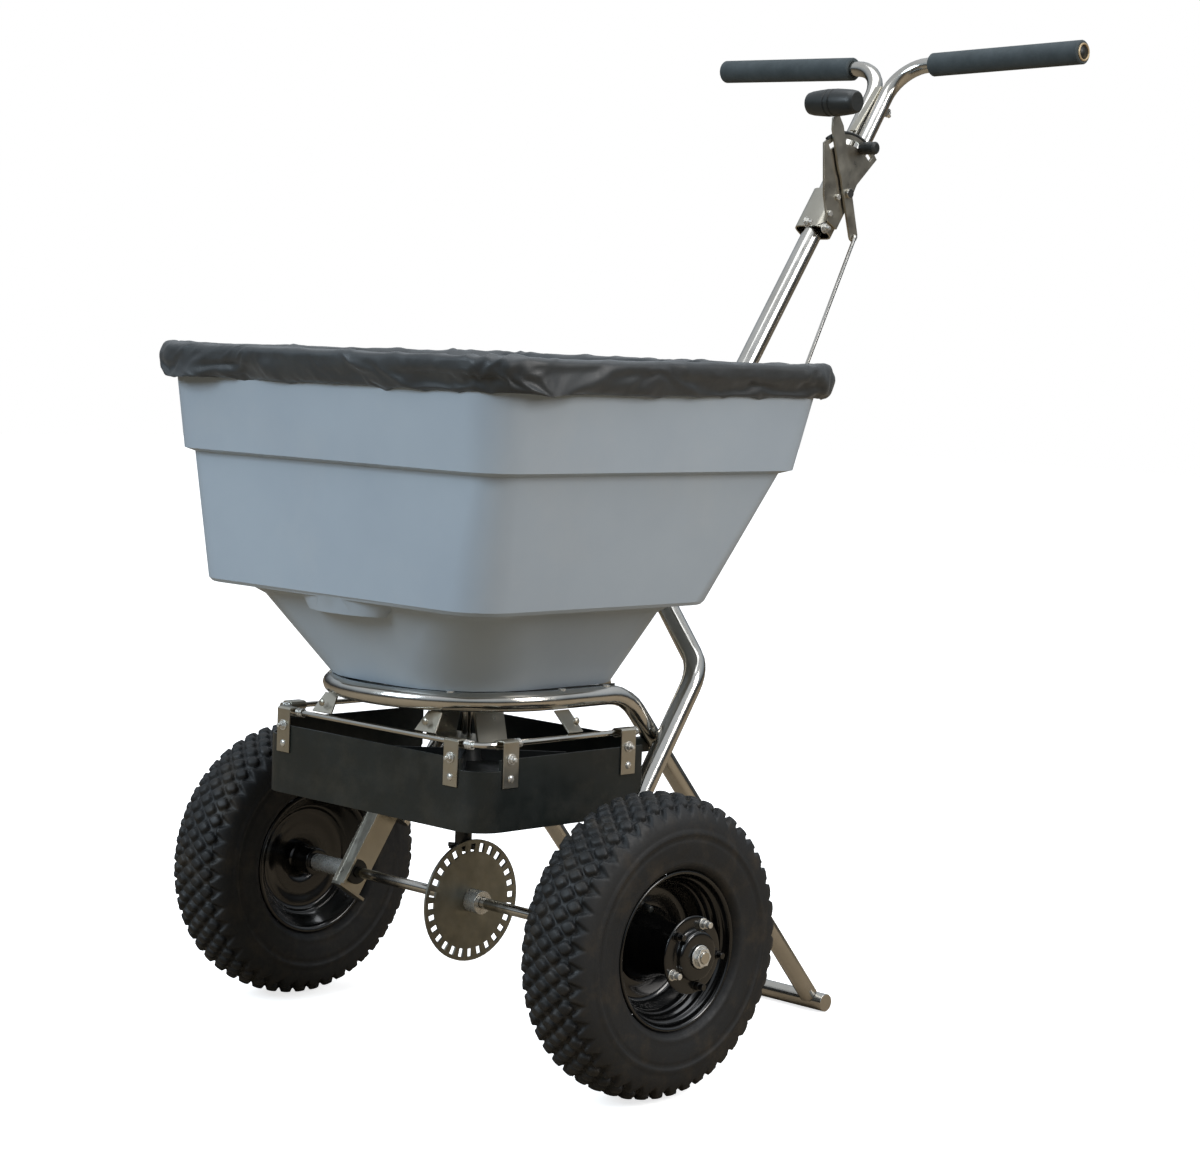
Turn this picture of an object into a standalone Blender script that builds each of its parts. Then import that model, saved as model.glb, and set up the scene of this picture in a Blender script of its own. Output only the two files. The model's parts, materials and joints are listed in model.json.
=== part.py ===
"""Push broadcast spreader: hopper on a tube frame, two wheels, pin gear drive, rate lever.

Metres, +Z up, front towards -Y, operator's left towards +X. Pieces are laid out from the
middle of the axle line on the ground, and the root empty then centres the whole along Y.
"""
import math

import bmesh
import bpy
from mathutils import Matrix, Vector

# Driving dimensions
GAP = 0.0003                # clearance between neighbouring pieces
WHEEL_R = 0.165             # tyre outside radius, also the height of the axle
WHEEL_X = 0.3026            # middle plane of each tyre
TYRE_HALF = 0.047
RIM_R = 0.086
HUB_R = 0.028               # outer boss of the wheel hub
AXLE_R = 0.00635
GEAR_X = 0.0141             # inner face of the gear disc
GEAR_T = 0.003
GEAR_R = 0.070
GEAR_SLOTS = 28
PINION_TEETH = 7
PINION_R = 0.0152           # pitch radius
TUBE_R = 0.0127             # handle and side tubes
LOOP_R = 0.011              # hopper loop and stand tube
LOOP_RISE = 0.2465          # hopper loop above the axle
LOOP_HALF = 0.149
LOOP_FRONT = -0.152
LOOP_BACK = 0.104
LOOP_CORNER = 0.142
STAND_SLOPE = 0.862         # run over drop of the stand legs
FOOT_REACH = 0.023          # foot bar beyond the middle of each leg
HOPPER_WALL = 0.004
HOPPER_HALF = 0.241         # half width at the shoulder
HOPPER_TOP_HALF = 0.285
HOPPER_FRONT = -0.211
HOPPER_BACK = 0.155
HOPPER_TOP_FRONT = -0.233
HOPPER_TOP_BACK = 0.285
LIP = 0.011                 # outward reach of the hopper lip
COVER_REACH = 0.010         # cover beyond the lip
BAR_SLOPE = 0.680           # run over rise of the handle bar
BAR_FOOT_Y = 0.283          # where the side tubes meet the bar
BAR_RISE = 0.434            # from there up to the foot of the handle tubes
HANDLE_R = 0.010
HANDLE_X = 0.0118           # half spacing of the two handle tubes
GRIP_R = 0.015
LEVER_KNOB = (-0.0335, 0.1105)
LEVER_END = (0.014, -0.0525)
LEVER_SWING = math.radians(25)
LEVER_X = 0.0294
PLATE_T = 0.003
CRANK_REACH = 1.475         # gate pin distance over rod hole distance
ROD_BEND = (-0.096, -0.189)  # control rod's upper bend, from its top end
ROD_KNEE = (-0.036, -0.008)  # its lower bend, from the joint of the handle bar and side tubes
WIRE_R = 0.0033
WIRE_FRONT = -0.141
WIRE_BACK = 0.096
SKIRT_OUT = 0.008           # skirt's middle surface beyond the wire
SKIRT_DROP = 0.0785         # height of the skirt
PANEL_Y = 0.1300            # front face of the panel behind the impeller
SHAFT_R = 0.006
IMPELLER_R = 0.118

# Levels, from the ground up
AXLE_Z = WHEEL_R
LOOP_Z = AXLE_Z + LOOP_RISE
PLATE_Z = AXLE_Z + 0.125            # bearing plate
IMPELLER_Z = AXLE_Z + 0.155
SKIRT_TOP_Z = LOOP_Z - 0.0530
WIRE_Z = LOOP_Z - 0.0379
HOPPER_Z = LOOP_Z + LOOP_R + GAP
CRANK_Z = LOOP_Z + 0.061
BAR_FOOT_Z = LOOP_Z + 0.1275
HANGER_Z = LOOP_Z + 0.0812          # where the crank's hanger meets the handle bar
HOPPER_SHOULDER_Z = LOOP_Z + 0.1075
HOPPER_STEP_Z = LOOP_Z + 0.2575
HOPPER_TOP_Z = LOOP_Z + 0.3725
CLAMP_Z = BAR_FOOT_Z + BAR_RISE
CLAMP_Y = BAR_FOOT_Y + BAR_SLOPE * BAR_RISE

# Places that follow from them
WEB_X = LOOP_HALF + 2 * TUBE_R + 0.0156     # inner face of the axle brackets
WIRE_HALF = LOOP_HALF + 0.028
GATE_TRAVEL = -CRANK_REACH * (LEVER_END[0] * (math.cos(LEVER_SWING) - 1)
                              + LEVER_END[1] * math.sin(LEVER_SWING))
CRANK_PIVOT = (0.172, CRANK_Z)
PIVOT = (CLAMP_Y + 0.01288, CLAMP_Z + 0.0285)
GRIP_IN = Vector((0.066, CLAMP_Y + 0.12938, CLAMP_Z + 0.198))
GRIP_OUT = Vector((0.2955, CLAMP_Y + 0.13238, CLAMP_Z + 0.204))
SIDE_BEND = (LOOP_HALF + TUBE_R + 0.0093, 0.1999, LOOP_Z + 0.0255)
SIDE_FOOT = (WEB_X - GAP - TUBE_R, 0.0555, AXLE_Z + 0.057)
FRONT_Y = HOPPER_TOP_FRONT - LIP - COVER_REACH
BACK_Y = GRIP_OUT.y + GRIP_R
MID_Y = (FRONT_Y + BACK_Y) / 2


# ---------------------------------------------------------------- scene helpers
def clear_scene():
    for obj in list(bpy.data.objects):
        bpy.data.objects.remove(obj, do_unlink=True)


def make_collection(name, helper=False):
    found = bpy.data.collections.new(name)
    bpy.context.scene.collection.children.link(found)
    found.hide_render = helper
    return found


def make_material(name, colour, metallic, roughness):
    made = bpy.data.materials.new(name)
    made.use_nodes = True
    shader = made.node_tree.nodes["Principled BSDF"]
    shader.inputs["Base Color"].default_value = (*colour, 1)
    shader.inputs["Metallic"].default_value = metallic
    shader.inputs["Roughness"].default_value = roughness
    made.diffuse_color = (*colour, 1)
    return made


LOOKS = {
    "steel": ((0.62, 0.61, 0.58), 1.0, 0.22),
    "plate": ((0.50, 0.47, 0.40), 1.0, 0.35),
    "grey": ((0.30, 0.33, 0.36), 0.0, 0.45),
    "black": ((0.02, 0.022, 0.022), 0.0, 0.50),
    "rim": ((0.012, 0.012, 0.013), 0.3, 0.30),
    "rubber": ((0.018, 0.019, 0.020), 0.0, 0.75),
    "foam": ((0.05, 0.058, 0.062), 0.0, 0.85),
    "cloth": ((0.022, 0.023, 0.025), 0.0, 0.90),
}


def add(name, data, look, matrix=None):
    obj = bpy.data.objects.new(name, data)
    PARTS.objects.link(obj)
    obj.data.materials.append(make_material(name, *LOOKS[look]))
    if matrix is not None:
        obj.matrix_world = matrix
    return obj


def add_cutter(name, mesh):
    obj = bpy.data.objects.new(name, mesh)
    CUTTERS.objects.link(obj)
    obj.hide_render = True
    obj.display_type = "WIRE"
    return obj


def combine(obj, other, operation="DIFFERENCE"):
    step = obj.modifiers.new(f"{operation.lower()} {other.name}", "BOOLEAN")
    step.operation = operation
    step.solver = "EXACT"
    step.object = other


def evaluated_mesh(obj):
    bpy.context.view_layer.update()
    graph = bpy.context.evaluated_depsgraph_get()
    mesh = bpy.data.meshes.new_from_object(obj.evaluated_get(graph))
    form = bmesh.new()
    form.from_mesh(mesh)
    bmesh.ops.remove_doubles(form, verts=form.verts, dist=1e-6)
    form.to_mesh(mesh)
    form.free()
    return mesh


def as_mesh(obj):
    """Replaces a curve object with a mesh object of the same name, place and look."""
    name, matrix, mesh = obj.name, obj.matrix_world.copy(), evaluated_mesh(obj)
    bpy.data.objects.remove(obj, do_unlink=True)
    made = bpy.data.objects.new(name, mesh)
    PARTS.objects.link(made)
    made.matrix_world = matrix
    return made


def mirrored(obj, name, look):
    """A copy of the piece on the operator's right."""
    mesh = evaluated_mesh(obj)
    mesh.transform(Matrix.Diagonal((-1, 1, 1, 1)) @ obj.matrix_world)
    mesh.flip_normals()
    mesh.materials.clear()
    return add(name, mesh, look)


# ---------------------------------------------------------------- frames of reference
def frame(x_axis, y_axis, origin=(0, 0, 0)):
    x_axis, y_axis = Vector(x_axis).normalized(), Vector(y_axis).normalized()
    turned = Matrix((x_axis, y_axis, x_axis.cross(y_axis))).transposed().to_4x4()
    return Matrix.Translation(origin) @ turned


def side_on(x, origin=(0, 0)):
    """Flat outline axes along Y and Z, thickness along X."""
    return frame((0, 1, 0), (0, 0, 1), (x, *origin))


def along_x(x=0.0):
    """Turned pieces: their axis along X, on the axle line."""
    return frame((0, 1, 0), (0, 0, 1), (x, 0, AXLE_Z))


# ---------------------------------------------------------------- outlines
def arc(cx, cy, radius, start, end, count):
    steps = (start + (end - start) * i / count for i in range(count + 1))
    return [(cx + radius * math.cos(math.radians(a)), cy + radius * math.sin(math.radians(a)))
            for a in steps]


def circle(cx, cy, radius, count=16, start=0):
    return arc(cx, cy, radius, start, start + 360, count)[:-1]


def box_outline(x0, x1, y0, y1):
    return [(x0, y0), (x1, y0), (x1, y1), (x0, y1)]


def round_box(half_x, y0, y1, front_r, back_r, count=5):
    return (arc(half_x - front_r, y0 + front_r, front_r, -90, 0, count)
            + arc(half_x - back_r, y1 - back_r, back_r, 0, 90, count)
            + arc(-half_x + back_r, y1 - back_r, back_r, 90, 180, count)
            + arc(-half_x + front_r, y0 + front_r, front_r, 180, 270, count))


def rounded_path(points, radii, step=12.0):
    """The polyline with each inner corner rounded to its radius, one point per step degrees."""
    points = [Vector(p) for p in points]
    path = [points[0]]
    for before, corner, after, radius in zip(points, points[1:], points[2:], radii):
        u, v = (before - corner).normalized(), (after - corner).normalized()
        half = u.angle(v) / 2
        centre = corner + (u + v).normalized() * (radius / math.sin(half))
        first = corner + u * (radius / math.tan(half)) - centre
        last = corner + v * (radius / math.tan(half)) - centre
        sweep = first.angle(last)
        count = max(2, round(math.degrees(sweep) / step))
        for i in range(count + 1):
            t = i / count
            path.append(centre + (first * math.sin((1 - t) * sweep)
                                  + last * math.sin(t * sweep)) / math.sin(sweep))
    return path + [points[-1]]


# ---------------------------------------------------------------- solids
def tube(name, points, radius, look, resolution=4):
    curve = bpy.data.curves.new(name, "CURVE")
    curve.dimensions = "3D"
    spline = curve.splines.new("POLY")
    spline.points.add(len(points) - 1)
    for point, place in zip(spline.points, points):
        point.co = (*place, 1)
    curve.bevel_depth = radius
    curve.bevel_resolution = resolution
    curve.use_fill_caps = True
    return add(name, curve, look)


def plate(name, outlines, thickness, matrix, look):
    """A flat plate with holes, its near face on the matrix's XY plane."""
    curve = bpy.data.curves.new(name, "CURVE")
    curve.dimensions = "2D"
    curve.fill_mode = "BOTH"
    curve.extrude = thickness / 2
    for outline in outlines:
        spline = curve.splines.new("POLY")
        spline.points.add(len(outline) - 1)
        spline.use_cyclic_u = True
        for point, place in zip(spline.points, outline):
            point.co = (*place, 0, 1)
    return add(name, curve, look, matrix @ Matrix.Translation((0, 0, thickness / 2)))


def turned(name, profile, look, matrix=None, steps=24, ring=True):
    """A Screw of the profile (radius, height), which runs down its outer side."""
    mesh = bpy.data.meshes.new(name)
    count = len(profile)
    edges = [(i, i + 1) for i in range(count - 1)]
    if ring:
        edges.append((count - 1, 0))
    mesh.from_pydata([(r, 0, z) for r, z in profile], edges, [])
    obj = add(name, mesh, look, matrix)
    screw = obj.modifiers.new("turn", "SCREW")
    screw.steps = screw.render_steps = steps
    screw.use_merge_vertices = True
    screw.merge_threshold = 0.00005
    screw.use_normal_calculate = False
    return obj


def rod_profile(radius, low, high):
    return [(0, high), (radius, high), (radius, low), (0, low)]


def ring_profile(outer, inner, low, high):
    return [(outer, high), (outer, low), (inner, low), (inner, high)]


def box_mesh(name, low, high, matrix=Matrix()):
    mesh = bpy.data.meshes.new(name)
    form = bmesh.new()
    bmesh.ops.create_cube(form, size=1)
    size = Vector(high) - Vector(low)
    middle = (Vector(high) + Vector(low)) / 2
    place = matrix @ Matrix.Translation(middle) @ Matrix.Diagonal((*size, 1))
    bmesh.ops.transform(form, matrix=place, verts=form.verts)
    bmesh.ops.recalc_face_normals(form, faces=form.faces)
    form.to_mesh(mesh)
    form.free()
    return mesh


def rod_cutter(name, start, end, radius, count=24):
    """A straight round cutter between two points."""
    start, end = Vector(start), Vector(end)
    mesh = bpy.data.meshes.new(name)
    form = bmesh.new()
    bmesh.ops.create_cone(form, cap_ends=True, segments=count, radius1=radius,
                          radius2=radius, depth=(end - start).length)
    turn = (end - start).to_track_quat("Z", "Y").to_matrix().to_4x4()
    bmesh.ops.transform(form, matrix=Matrix.Translation((start + end) / 2) @ turn,
                        verts=form.verts)
    form.to_mesh(mesh)
    form.free()
    return add_cutter(name, mesh)


def loft(name, rings, look):
    """A closed solid through rings of equal count, flat at both ends."""
    count = len(rings[0])
    points = [place for ring in rings for place in ring]
    faces = [tuple(reversed(range(count)))]
    for k in range(len(rings) - 1):
        for i in range(count):
            j = (i + 1) % count
            faces.append((k * count + i, k * count + j,
                          (k + 1) * count + j, (k + 1) * count + i))
    faces.append(tuple(range((len(rings) - 1) * count, len(rings) * count)))
    mesh = bpy.data.meshes.new(name)
    mesh.from_pydata(points, [], faces)
    form = bmesh.new()
    form.from_mesh(mesh)
    bmesh.ops.recalc_face_normals(form, faces=form.faces)
    form.to_mesh(mesh)
    form.free()
    return add(name, mesh, look)


def flat_bar(name, start, end, start_half, end_half, width_axis, thickness, look):
    """A straight tapered strap between two points."""
    start, end, across = Vector(start), Vector(end), Vector(width_axis).normalized()
    out = across.cross(end - start).normalized() * (thickness / 2)
    ends = []
    for place, half in ((start, start_half), (end, end_half)):
        a, b = place - across * half, place + across * half
        ends.append([a - out, b - out, b + out, a + out])
    return loft(name, ends, look)


# ---------------------------------------------------------------- wheels and axle
def tyre_profile():
    bead = RIM_R - 0.0079
    outer = [(TYRE_HALF * a, RIM_R + (WHEEL_R - RIM_R) * r) for a, r in
             ((0.0, 1.0), (0.46, 0.975), (0.79, 0.88), (0.955, 0.70), (1.0, 0.42),
              (0.94, 0.10), (0.777, 0.005))] + [(TYRE_HALF * 0.777, bead)]
    inner = [(TYRE_HALF * a, RIM_R + (WHEEL_R - RIM_R) * r) for a, r in
             ((0.0, 0.905), (0.64, 0.82), (0.855, 0.55), (0.84, 0.17),
              (0.60, 0.02))] + [(TYRE_HALF * 0.60, bead)]
    down = [(r, a) for a, r in reversed(outer)] + [(r, -a) for a, r in outer[1:]]
    up = [(r, -a) for a, r in reversed(inner)] + [(r, a) for a, r in inner[1:]]
    return down + up


def rim_profile():
    wall, seat, well, disc = 0.0025, RIM_R - 0.0092, RIM_R - 0.0165, -0.0120
    edge = TYRE_HALF * 0.777 + 0.001
    return [
        (RIM_R, edge + wall), (RIM_R, edge), (seat, edge - 0.0005), (well, 0.020),
        (well, -0.020), (seat, -edge + 0.0005), (RIM_R, -edge), (RIM_R, -edge - wall),
        (seat - wall, -edge - wall), (well - wall, -0.0225), (well - wall, disc - wall),
        (0.0180, disc - wall), (0.0180, disc), (well - wall, disc),
        (well - wall, 0.0225), (seat - wall, edge + wall),
    ]


def hub_profile():
    disc = -0.0120 + GAP
    bore = AXLE_R + GAP
    return [
        (HUB_R - 0.0025, 0.0715), (HUB_R, 0.0690), (HUB_R + 0.001, 0.0300),
        (HUB_R + 0.0070, disc + 0.006), (HUB_R + 0.0150, disc + 0.005), (HUB_R + 0.0150, disc),
        (0.0180 - GAP, disc), (0.0170, -0.0410), (bore, -0.0410), (bore, 0.0715),
    ]


def build_wheel(side, mark):
    place = along_x(side * WHEEL_X)
    if side < 0:
        place = place @ Matrix.Rotation(math.pi, 4, "X")
    turned(f"tyre_{mark}", tyre_profile(), "rubber", place, 32)
    turned(f"rim_{mark}", rim_profile(), "rim", place, 32)
    turned(f"wheel_hub_{mark}", hub_profile(), "rim", place, 20)
    nut = [circle(0, 0, 0.0105, 6), circle(0, 0, AXLE_R + GAP, 12)]
    plate(f"axle_nut_{mark}", nut, 0.0070,
          place @ Matrix.Translation((0, 0, 0.0715 + GAP)), "steel")


def build_axle():
    reach = WHEEL_X + 0.0805
    turned("axle", rod_profile(AXLE_R, -reach, reach), "steel", along_x(), 16)
    mid = GEAR_R - 0.0092
    outlines = [circle(0, 0, GEAR_R, 56), circle(0, 0, AXLE_R + GAP, 16)]
    for k in range(GEAR_SLOTS):
        turn = Matrix.Rotation(2 * math.pi * k / GEAR_SLOTS, 2)
        corners = box_outline(-0.0035, 0.0035, mid - 0.0048, mid + 0.0048)
        outlines.append([tuple(turn @ Vector(c)) for c in corners])
    plate("gear_disc", outlines, GEAR_T, side_on(GEAR_X, (0, AXLE_Z)), "plate")
    hub = ring_profile(0.0135, AXLE_R + GAP, GEAR_X + GEAR_T + GAP, 0.0360)
    turned("gear_hub", hub, "steel", along_x(), 20)


def build_axle_carriers():
    """Channel bracket, flange bush and spacer sleeve on each side, made for the left."""
    web = WEB_X
    run = (0, 0.549, 0.836)
    place = frame((0, 0.836, -0.549), run, (0, 0, AXLE_Z))
    across = place.to_3x3().col[2].x
    low, high = sorted((across * web, across * (web + PLATE_T)))
    bracket = add("axle_bracket_left",
                  box_mesh("web", (-0.020, -0.024, low), (0.022, 0.098, high), place), "plate")
    flange = sorted((across * (web - 0.017), across * (web + PLATE_T)))
    front = box_mesh("front flange", (-0.023, -0.0235, flange[0]), (-0.0195, 0.0985, flange[1]),
                     place)
    combine(bracket, add_cutter("bracket front flange", front), "UNION")
    foot = sorted((across * (web - 0.013), across * (web + PLATE_T)))
    base = box_mesh("foot flange", (-0.0225, -0.0270, foot[0]), (0.0215, -0.0235, foot[1]),
                    place)
    combine(bracket, add_cutter("bracket foot flange", base), "UNION")
    hole = rod_cutter("axle hole", (0.15, 0, AXLE_Z), (0.25, 0, AXLE_Z), 0.0100)
    combine(bracket, hole)
    mirrored(bracket, "axle_bracket_right", "plate")
    bore = AXLE_R + GAP
    bush = [(0.0100 - GAP, web + PLATE_T + 0.001), (0.0100 - GAP, web - GAP),
            (0.0150, web - GAP), (0.0150, web - 0.005), (bore, web - 0.005),
            (bore, web + PLATE_T + 0.001)]
    start = web + PLATE_T + 0.001 + GAP
    sleeve = ring_profile(0.0105, bore, start, WHEEL_X - 0.0410 - GAP)
    for side, mark in ((1, "left"), (-1, "right")):
        turn = Matrix.Rotation(0 if side > 0 else math.pi, 4, "X")
        turned(f"axle_bush_{mark}", bush, "black", along_x() @ turn, 20)
        turned(f"axle_spacer_{mark}", sleeve, "steel", along_x() @ turn, 16)


# ---------------------------------------------------------------- tube frame
def bar_y(z):
    return BAR_FOOT_Y + BAR_SLOPE * (z - BAR_FOOT_Z)


def build_loop():
    foot_z = LOOP_R
    drop = LOOP_Z - foot_z
    foot_y = LOOP_BACK + STAND_SLOPE * drop
    corner = LOOP_CORNER
    half = [(LOOP_HALF, foot_y, foot_z), (LOOP_HALF, LOOP_BACK, LOOP_Z),
            (LOOP_HALF, LOOP_FRONT, LOOP_Z)]
    other = [(-x, y, z) for x, y, z in reversed(half)]
    path = rounded_path(half + other, (0.060, corner, corner, 0.060), 10)
    loop = as_mesh(tube("loop_tube", path, LOOP_R, "steel"))
    half_foot = Vector((LOOP_HALF + FOOT_REACH, foot_y, foot_z))
    far_foot = Vector((-LOOP_HALF - FOOT_REACH, foot_y, foot_z))
    reach = Vector((0.02, 0, 0))
    combine(loop, rod_cutter("foot seat", far_foot - reach, half_foot + reach,
                             LOOP_R + GAP))
    ground = box_mesh("below foot", (-0.3, foot_y - 0.03, -0.03), (0.3, foot_y + 0.05, foot_z))
    combine(loop, add_cutter("leg end", ground))
    tube("stand_foot", [far_foot, half_foot], LOOP_R, "steel")


def build_upright():
    bend, foot = Vector(SIDE_BEND), Vector(SIDE_FOOT)
    centre = Vector((0, BAR_FOOT_Y, BAR_FOOT_Z))
    path = rounded_path([foot, bend, centre], (0.055,), 9)
    side = as_mesh(tube("side_tube_left", path, TUBE_R, "steel"))
    low, high = BAR_FOOT_Z - 0.062, CLAMP_Z - GAP
    bar_low, bar_high = Vector((0, bar_y(low), low)), Vector((0, bar_y(high), high))
    reach = (bar_high - bar_low).normalized() * 0.05
    seat = rod_cutter("bar seat", bar_low - reach, bar_low + reach * 3, TUBE_R + GAP)
    combine(side, seat)
    past = box_mesh("past the bar", (-0.06, BAR_FOOT_Y - 0.083, BAR_FOOT_Z - 0.119),
                    (0.001, BAR_FOOT_Y + 0.077, BAR_FOOT_Z + 0.121))
    combine(side, add_cutter("side tube end", past))
    mirrored(side, "side_tube_right", "steel")
    tube("handle_bar", [bar_low, bar_high], TUBE_R, "steel")


# ---------------------------------------------------------------- handle
def bar_frame(z):
    """Local Z up the handle bar, local X across."""
    run = Vector((0, BAR_SLOPE, 1)).normalized()
    return frame((1, 0, 0), run.cross(Vector((1, 0, 0))), (0, bar_y(z), z))


def build_handle():
    outer_x, outer_y = HANDLE_X + HANDLE_R + GAP + 0.002, TUBE_R + GAP + 0.002
    outlines = [round_box(outer_x, -outer_y, outer_y, 0.010, 0.010, 3),
                round_box(outer_x - 0.002, -outer_y + 0.002, outer_y - 0.002, 0.008, 0.008, 3)]
    plate("handle_sleeve", outlines, 0.060, bar_frame(CLAMP_Z - 0.022), "plate")
    start = Vector((HANDLE_X, bar_y(CLAMP_Z), CLAMP_Z))
    inward = (GRIP_IN - GRIP_OUT).normalized()
    corner = GRIP_IN + inward * ((GRIP_IN.x - HANDLE_X) / -inward.x)
    corner.x = HANDLE_X
    path = rounded_path([start, corner, GRIP_OUT], (0.048,), 9)
    left = tube("handle_tube_left", path, HANDLE_R, "steel")
    mirrored(left, "handle_tube_right", "steel")
    run = (GRIP_OUT - GRIP_IN)
    place = frame(run.cross(Vector((0, 1, 0))), run.cross(Vector((0, 1, 0))).cross(run) * -1,
                  GRIP_IN)
    length = run.length
    profile = [(GRIP_R - 0.0015, length), (GRIP_R, length - 0.0015), (GRIP_R, 0.0015),
               (GRIP_R - 0.0015, 0), (HANDLE_R + GAP, 0), (HANDLE_R + GAP, length)]
    grip = turned("grip_left", profile, "foam", place, 20)
    mirrored(grip, "grip_right", "foam")


# ---------------------------------------------------------------- rate control
def bar_link_outline(stations, half_widths, count=4):
    """A strap outline along straight stations, with round ends."""
    first, last = Vector(stations[0]), Vector(stations[-1])
    run = (last - first).normalized()
    out = Vector((-run.y, run.x))
    heading = math.degrees(math.atan2(run.y, run.x))
    left = [tuple(Vector(s) + out * h) for s, h in zip(stations[1:-1], half_widths[1:-1])]
    right = [tuple(Vector(s) - out * h) for s, h in zip(stations[1:-1], half_widths[1:-1])]
    start = arc(first.x, first.y, half_widths[0], heading + 90, heading + 270, count)
    end = arc(last.x, last.y, half_widths[-1], heading - 90, heading + 90, count)
    return start + right + end + list(reversed(left))


def build_rate_plate():
    x = HANDLE_X + HANDLE_R + GAP + 0.002 + GAP
    outline = (arc(0, 0, 0.075, 126, 38, 12)
               + [(0.022, 0.012), (0.010, -0.010), (-0.014, -0.046), (-0.032, -0.036),
                  (-0.040, -0.004)])
    slot = arc(0, 0, 0.0685, 121, 44, 11) + arc(0, 0, 0.0615, 44, 121, 11)
    hole = circle(0, 0, 0.004 + GAP, 12)
    plate("rate_plate", [outline, slot, hole], PLATE_T, side_on(x, PIVOT), "plate")
    base = x + PLATE_T
    profile = [(0.0060, 0.0365), (0.0060, LEVER_X + PLATE_T + GAP), (0.0040, LEVER_X + PLATE_T),
               (0.0040, LEVER_X), (0.0080, LEVER_X - GAP), (0.0080, base + GAP),
               (0.0040, base + GAP), (0.0040, x + GAP), (0, x + GAP)]
    turned("lever_pivot", [(0, 0.0365)] + profile, "steel", turned_at(PIVOT), 16, ring=False)
    angle = math.radians(90 - 26)
    spot = (PIVOT[0] + 0.065 * math.cos(angle), PIVOT[1] + 0.065 * math.sin(angle))
    stop = [(0, 0.0520), (0.0055, 0.0520), (0.0080, 0.0500), (0.0080, base + GAP),
            (0.0032, base + GAP), (0.0032, x - GAP), (0, x - GAP)]
    turned("rate_stop", stop, "black", turned_at(spot), 16, ring=False)


def turned_at(spot):
    """Turned pieces: their axis along X, through a point given by y and z."""
    return Matrix.Translation((0, spot[0], spot[1] - AXLE_Z)) @ along_x()


def build_lever():
    knob_r, half = 0.0172, 0.0385
    knob = Vector(LEVER_KNOB)
    top = knob * (1 - (knob_r + GAP) / knob.length)
    end = Vector(LEVER_END)
    run = top.normalized()
    side = Vector((-run.y, run.x))
    rest = arc(end.x, end.y, 0.0075, 180 + 15, 360 + 15, 6)
    up = [tuple(top * 0.22 - side * 0.0085), tuple(top * 0.35 - side * 0.0105),
          tuple(top * 0.86 - side * 0.0105), tuple(top - side * 0.0060)]
    down = [tuple(top + side * 0.0060), tuple(top * 0.86 + side * 0.0105),
            tuple(top * 0.35 + side * 0.0105), tuple(top * 0.22 + side * 0.0085)]
    waist = [(0.0085, -0.004)]
    back = [(-0.0085, -0.004)]
    outline = rest + waist + up + down + back
    holes = [circle(0, 0, 0.004 + GAP, 12), circle(end.x, end.y, 0.0028, 10)]
    plate("rate_lever", [outline] + holes, PLATE_T, side_on(LEVER_X, PIVOT), "plate")
    profile = [(0, half), (0.0105, half), (0.0128, half - 0.004), (0.0162, half * 0.5),
               (knob_r, half * 0.2), (knob_r, -half * 0.2), (0.0162, -half * 0.5),
               (0.0128, -half + 0.004), (0.0105, -half), (0, -half)]
    place = turned_at((PIVOT[0] + knob.x, PIVOT[1] + knob.y))
    centre = LEVER_X + PLATE_T / 2
    turned("lever_knob", profile, "black", place @ Matrix.Translation((0, 0, centre)), 20,
           ring=False)


def build_linkage():
    rod_x = LEVER_X + PLATE_T + GAP + 0.0025
    top = Vector((rod_x, PIVOT[0] + LEVER_END[0], PIVOT[1] + LEVER_END[1]))
    low = Vector((rod_x, CRANK_PIVOT[0] + LEVER_END[0], CRANK_PIVOT[1] + LEVER_END[1]))
    into = Vector((PLATE_T + GAP + 0.004, 0, 0))
    bend = top + Vector((0, *ROD_BEND))
    knee = Vector((rod_x, BAR_FOOT_Y + ROD_KNEE[0], BAR_FOOT_Z + ROD_KNEE[1]))
    path = rounded_path([top - into, top, bend, knee, low, low - into],
                        (0.0030, 0.040, 0.040, 0.0030), 30)
    tube("control_rod", path, 0.0025, "steel", 2)
    hang = Vector(LEVER_END)
    pin = hang * CRANK_REACH
    holes = [circle(hang.x, hang.y, 0.0028, 10)]
    outline = bar_link_outline([(0, 0), tuple(hang), tuple(pin)], [0.009, 0.008, 0.008])
    crank = as_mesh(plate("gate_crank", [outline] + holes, PLATE_T,
                          side_on(LEVER_X, CRANK_PIVOT), "plate"))
    bracket_x = TUBE_R + GAP
    crank_y, crank_z = CRANK_PIVOT
    stub = rod_cutter("crank pivot", (bracket_x - 0.002, crank_y, crank_z),
                      (LEVER_X + PLATE_T + 0.004, crank_y, crank_z), 0.004, 16)
    combine(crank, stub, "UNION")
    peg = rod_cutter("gate pin", (LEVER_X - 0.0055, crank_y + pin.x, crank_z + pin.y),
                     (LEVER_X + 0.001, crank_y + pin.x, crank_z + pin.y), 0.003, 16)
    combine(crank, peg, "UNION")
    foot = Vector((bar_y(HANGER_Z) - crank_y, HANGER_Z - crank_z))
    outline = bar_link_outline([(0, 0), tuple(foot / 2), tuple(foot)], [0.009, 0.010, 0.011])
    hanger = [outline, circle(0, 0, 0.004 + GAP, 12)]
    plate("crank_hanger", hanger, PLATE_T, side_on(bracket_x, CRANK_PIVOT), "plate")
    build_gate(crank_y + pin.x, crank_z + pin.y)


# ---------------------------------------------------------------- outlet gate
PORT_X = (0.012, 0.042)
PORT_Y = (0.026, 0.054)
GATE_HALF = 0.0555
GATE_T = 0.0015


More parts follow.
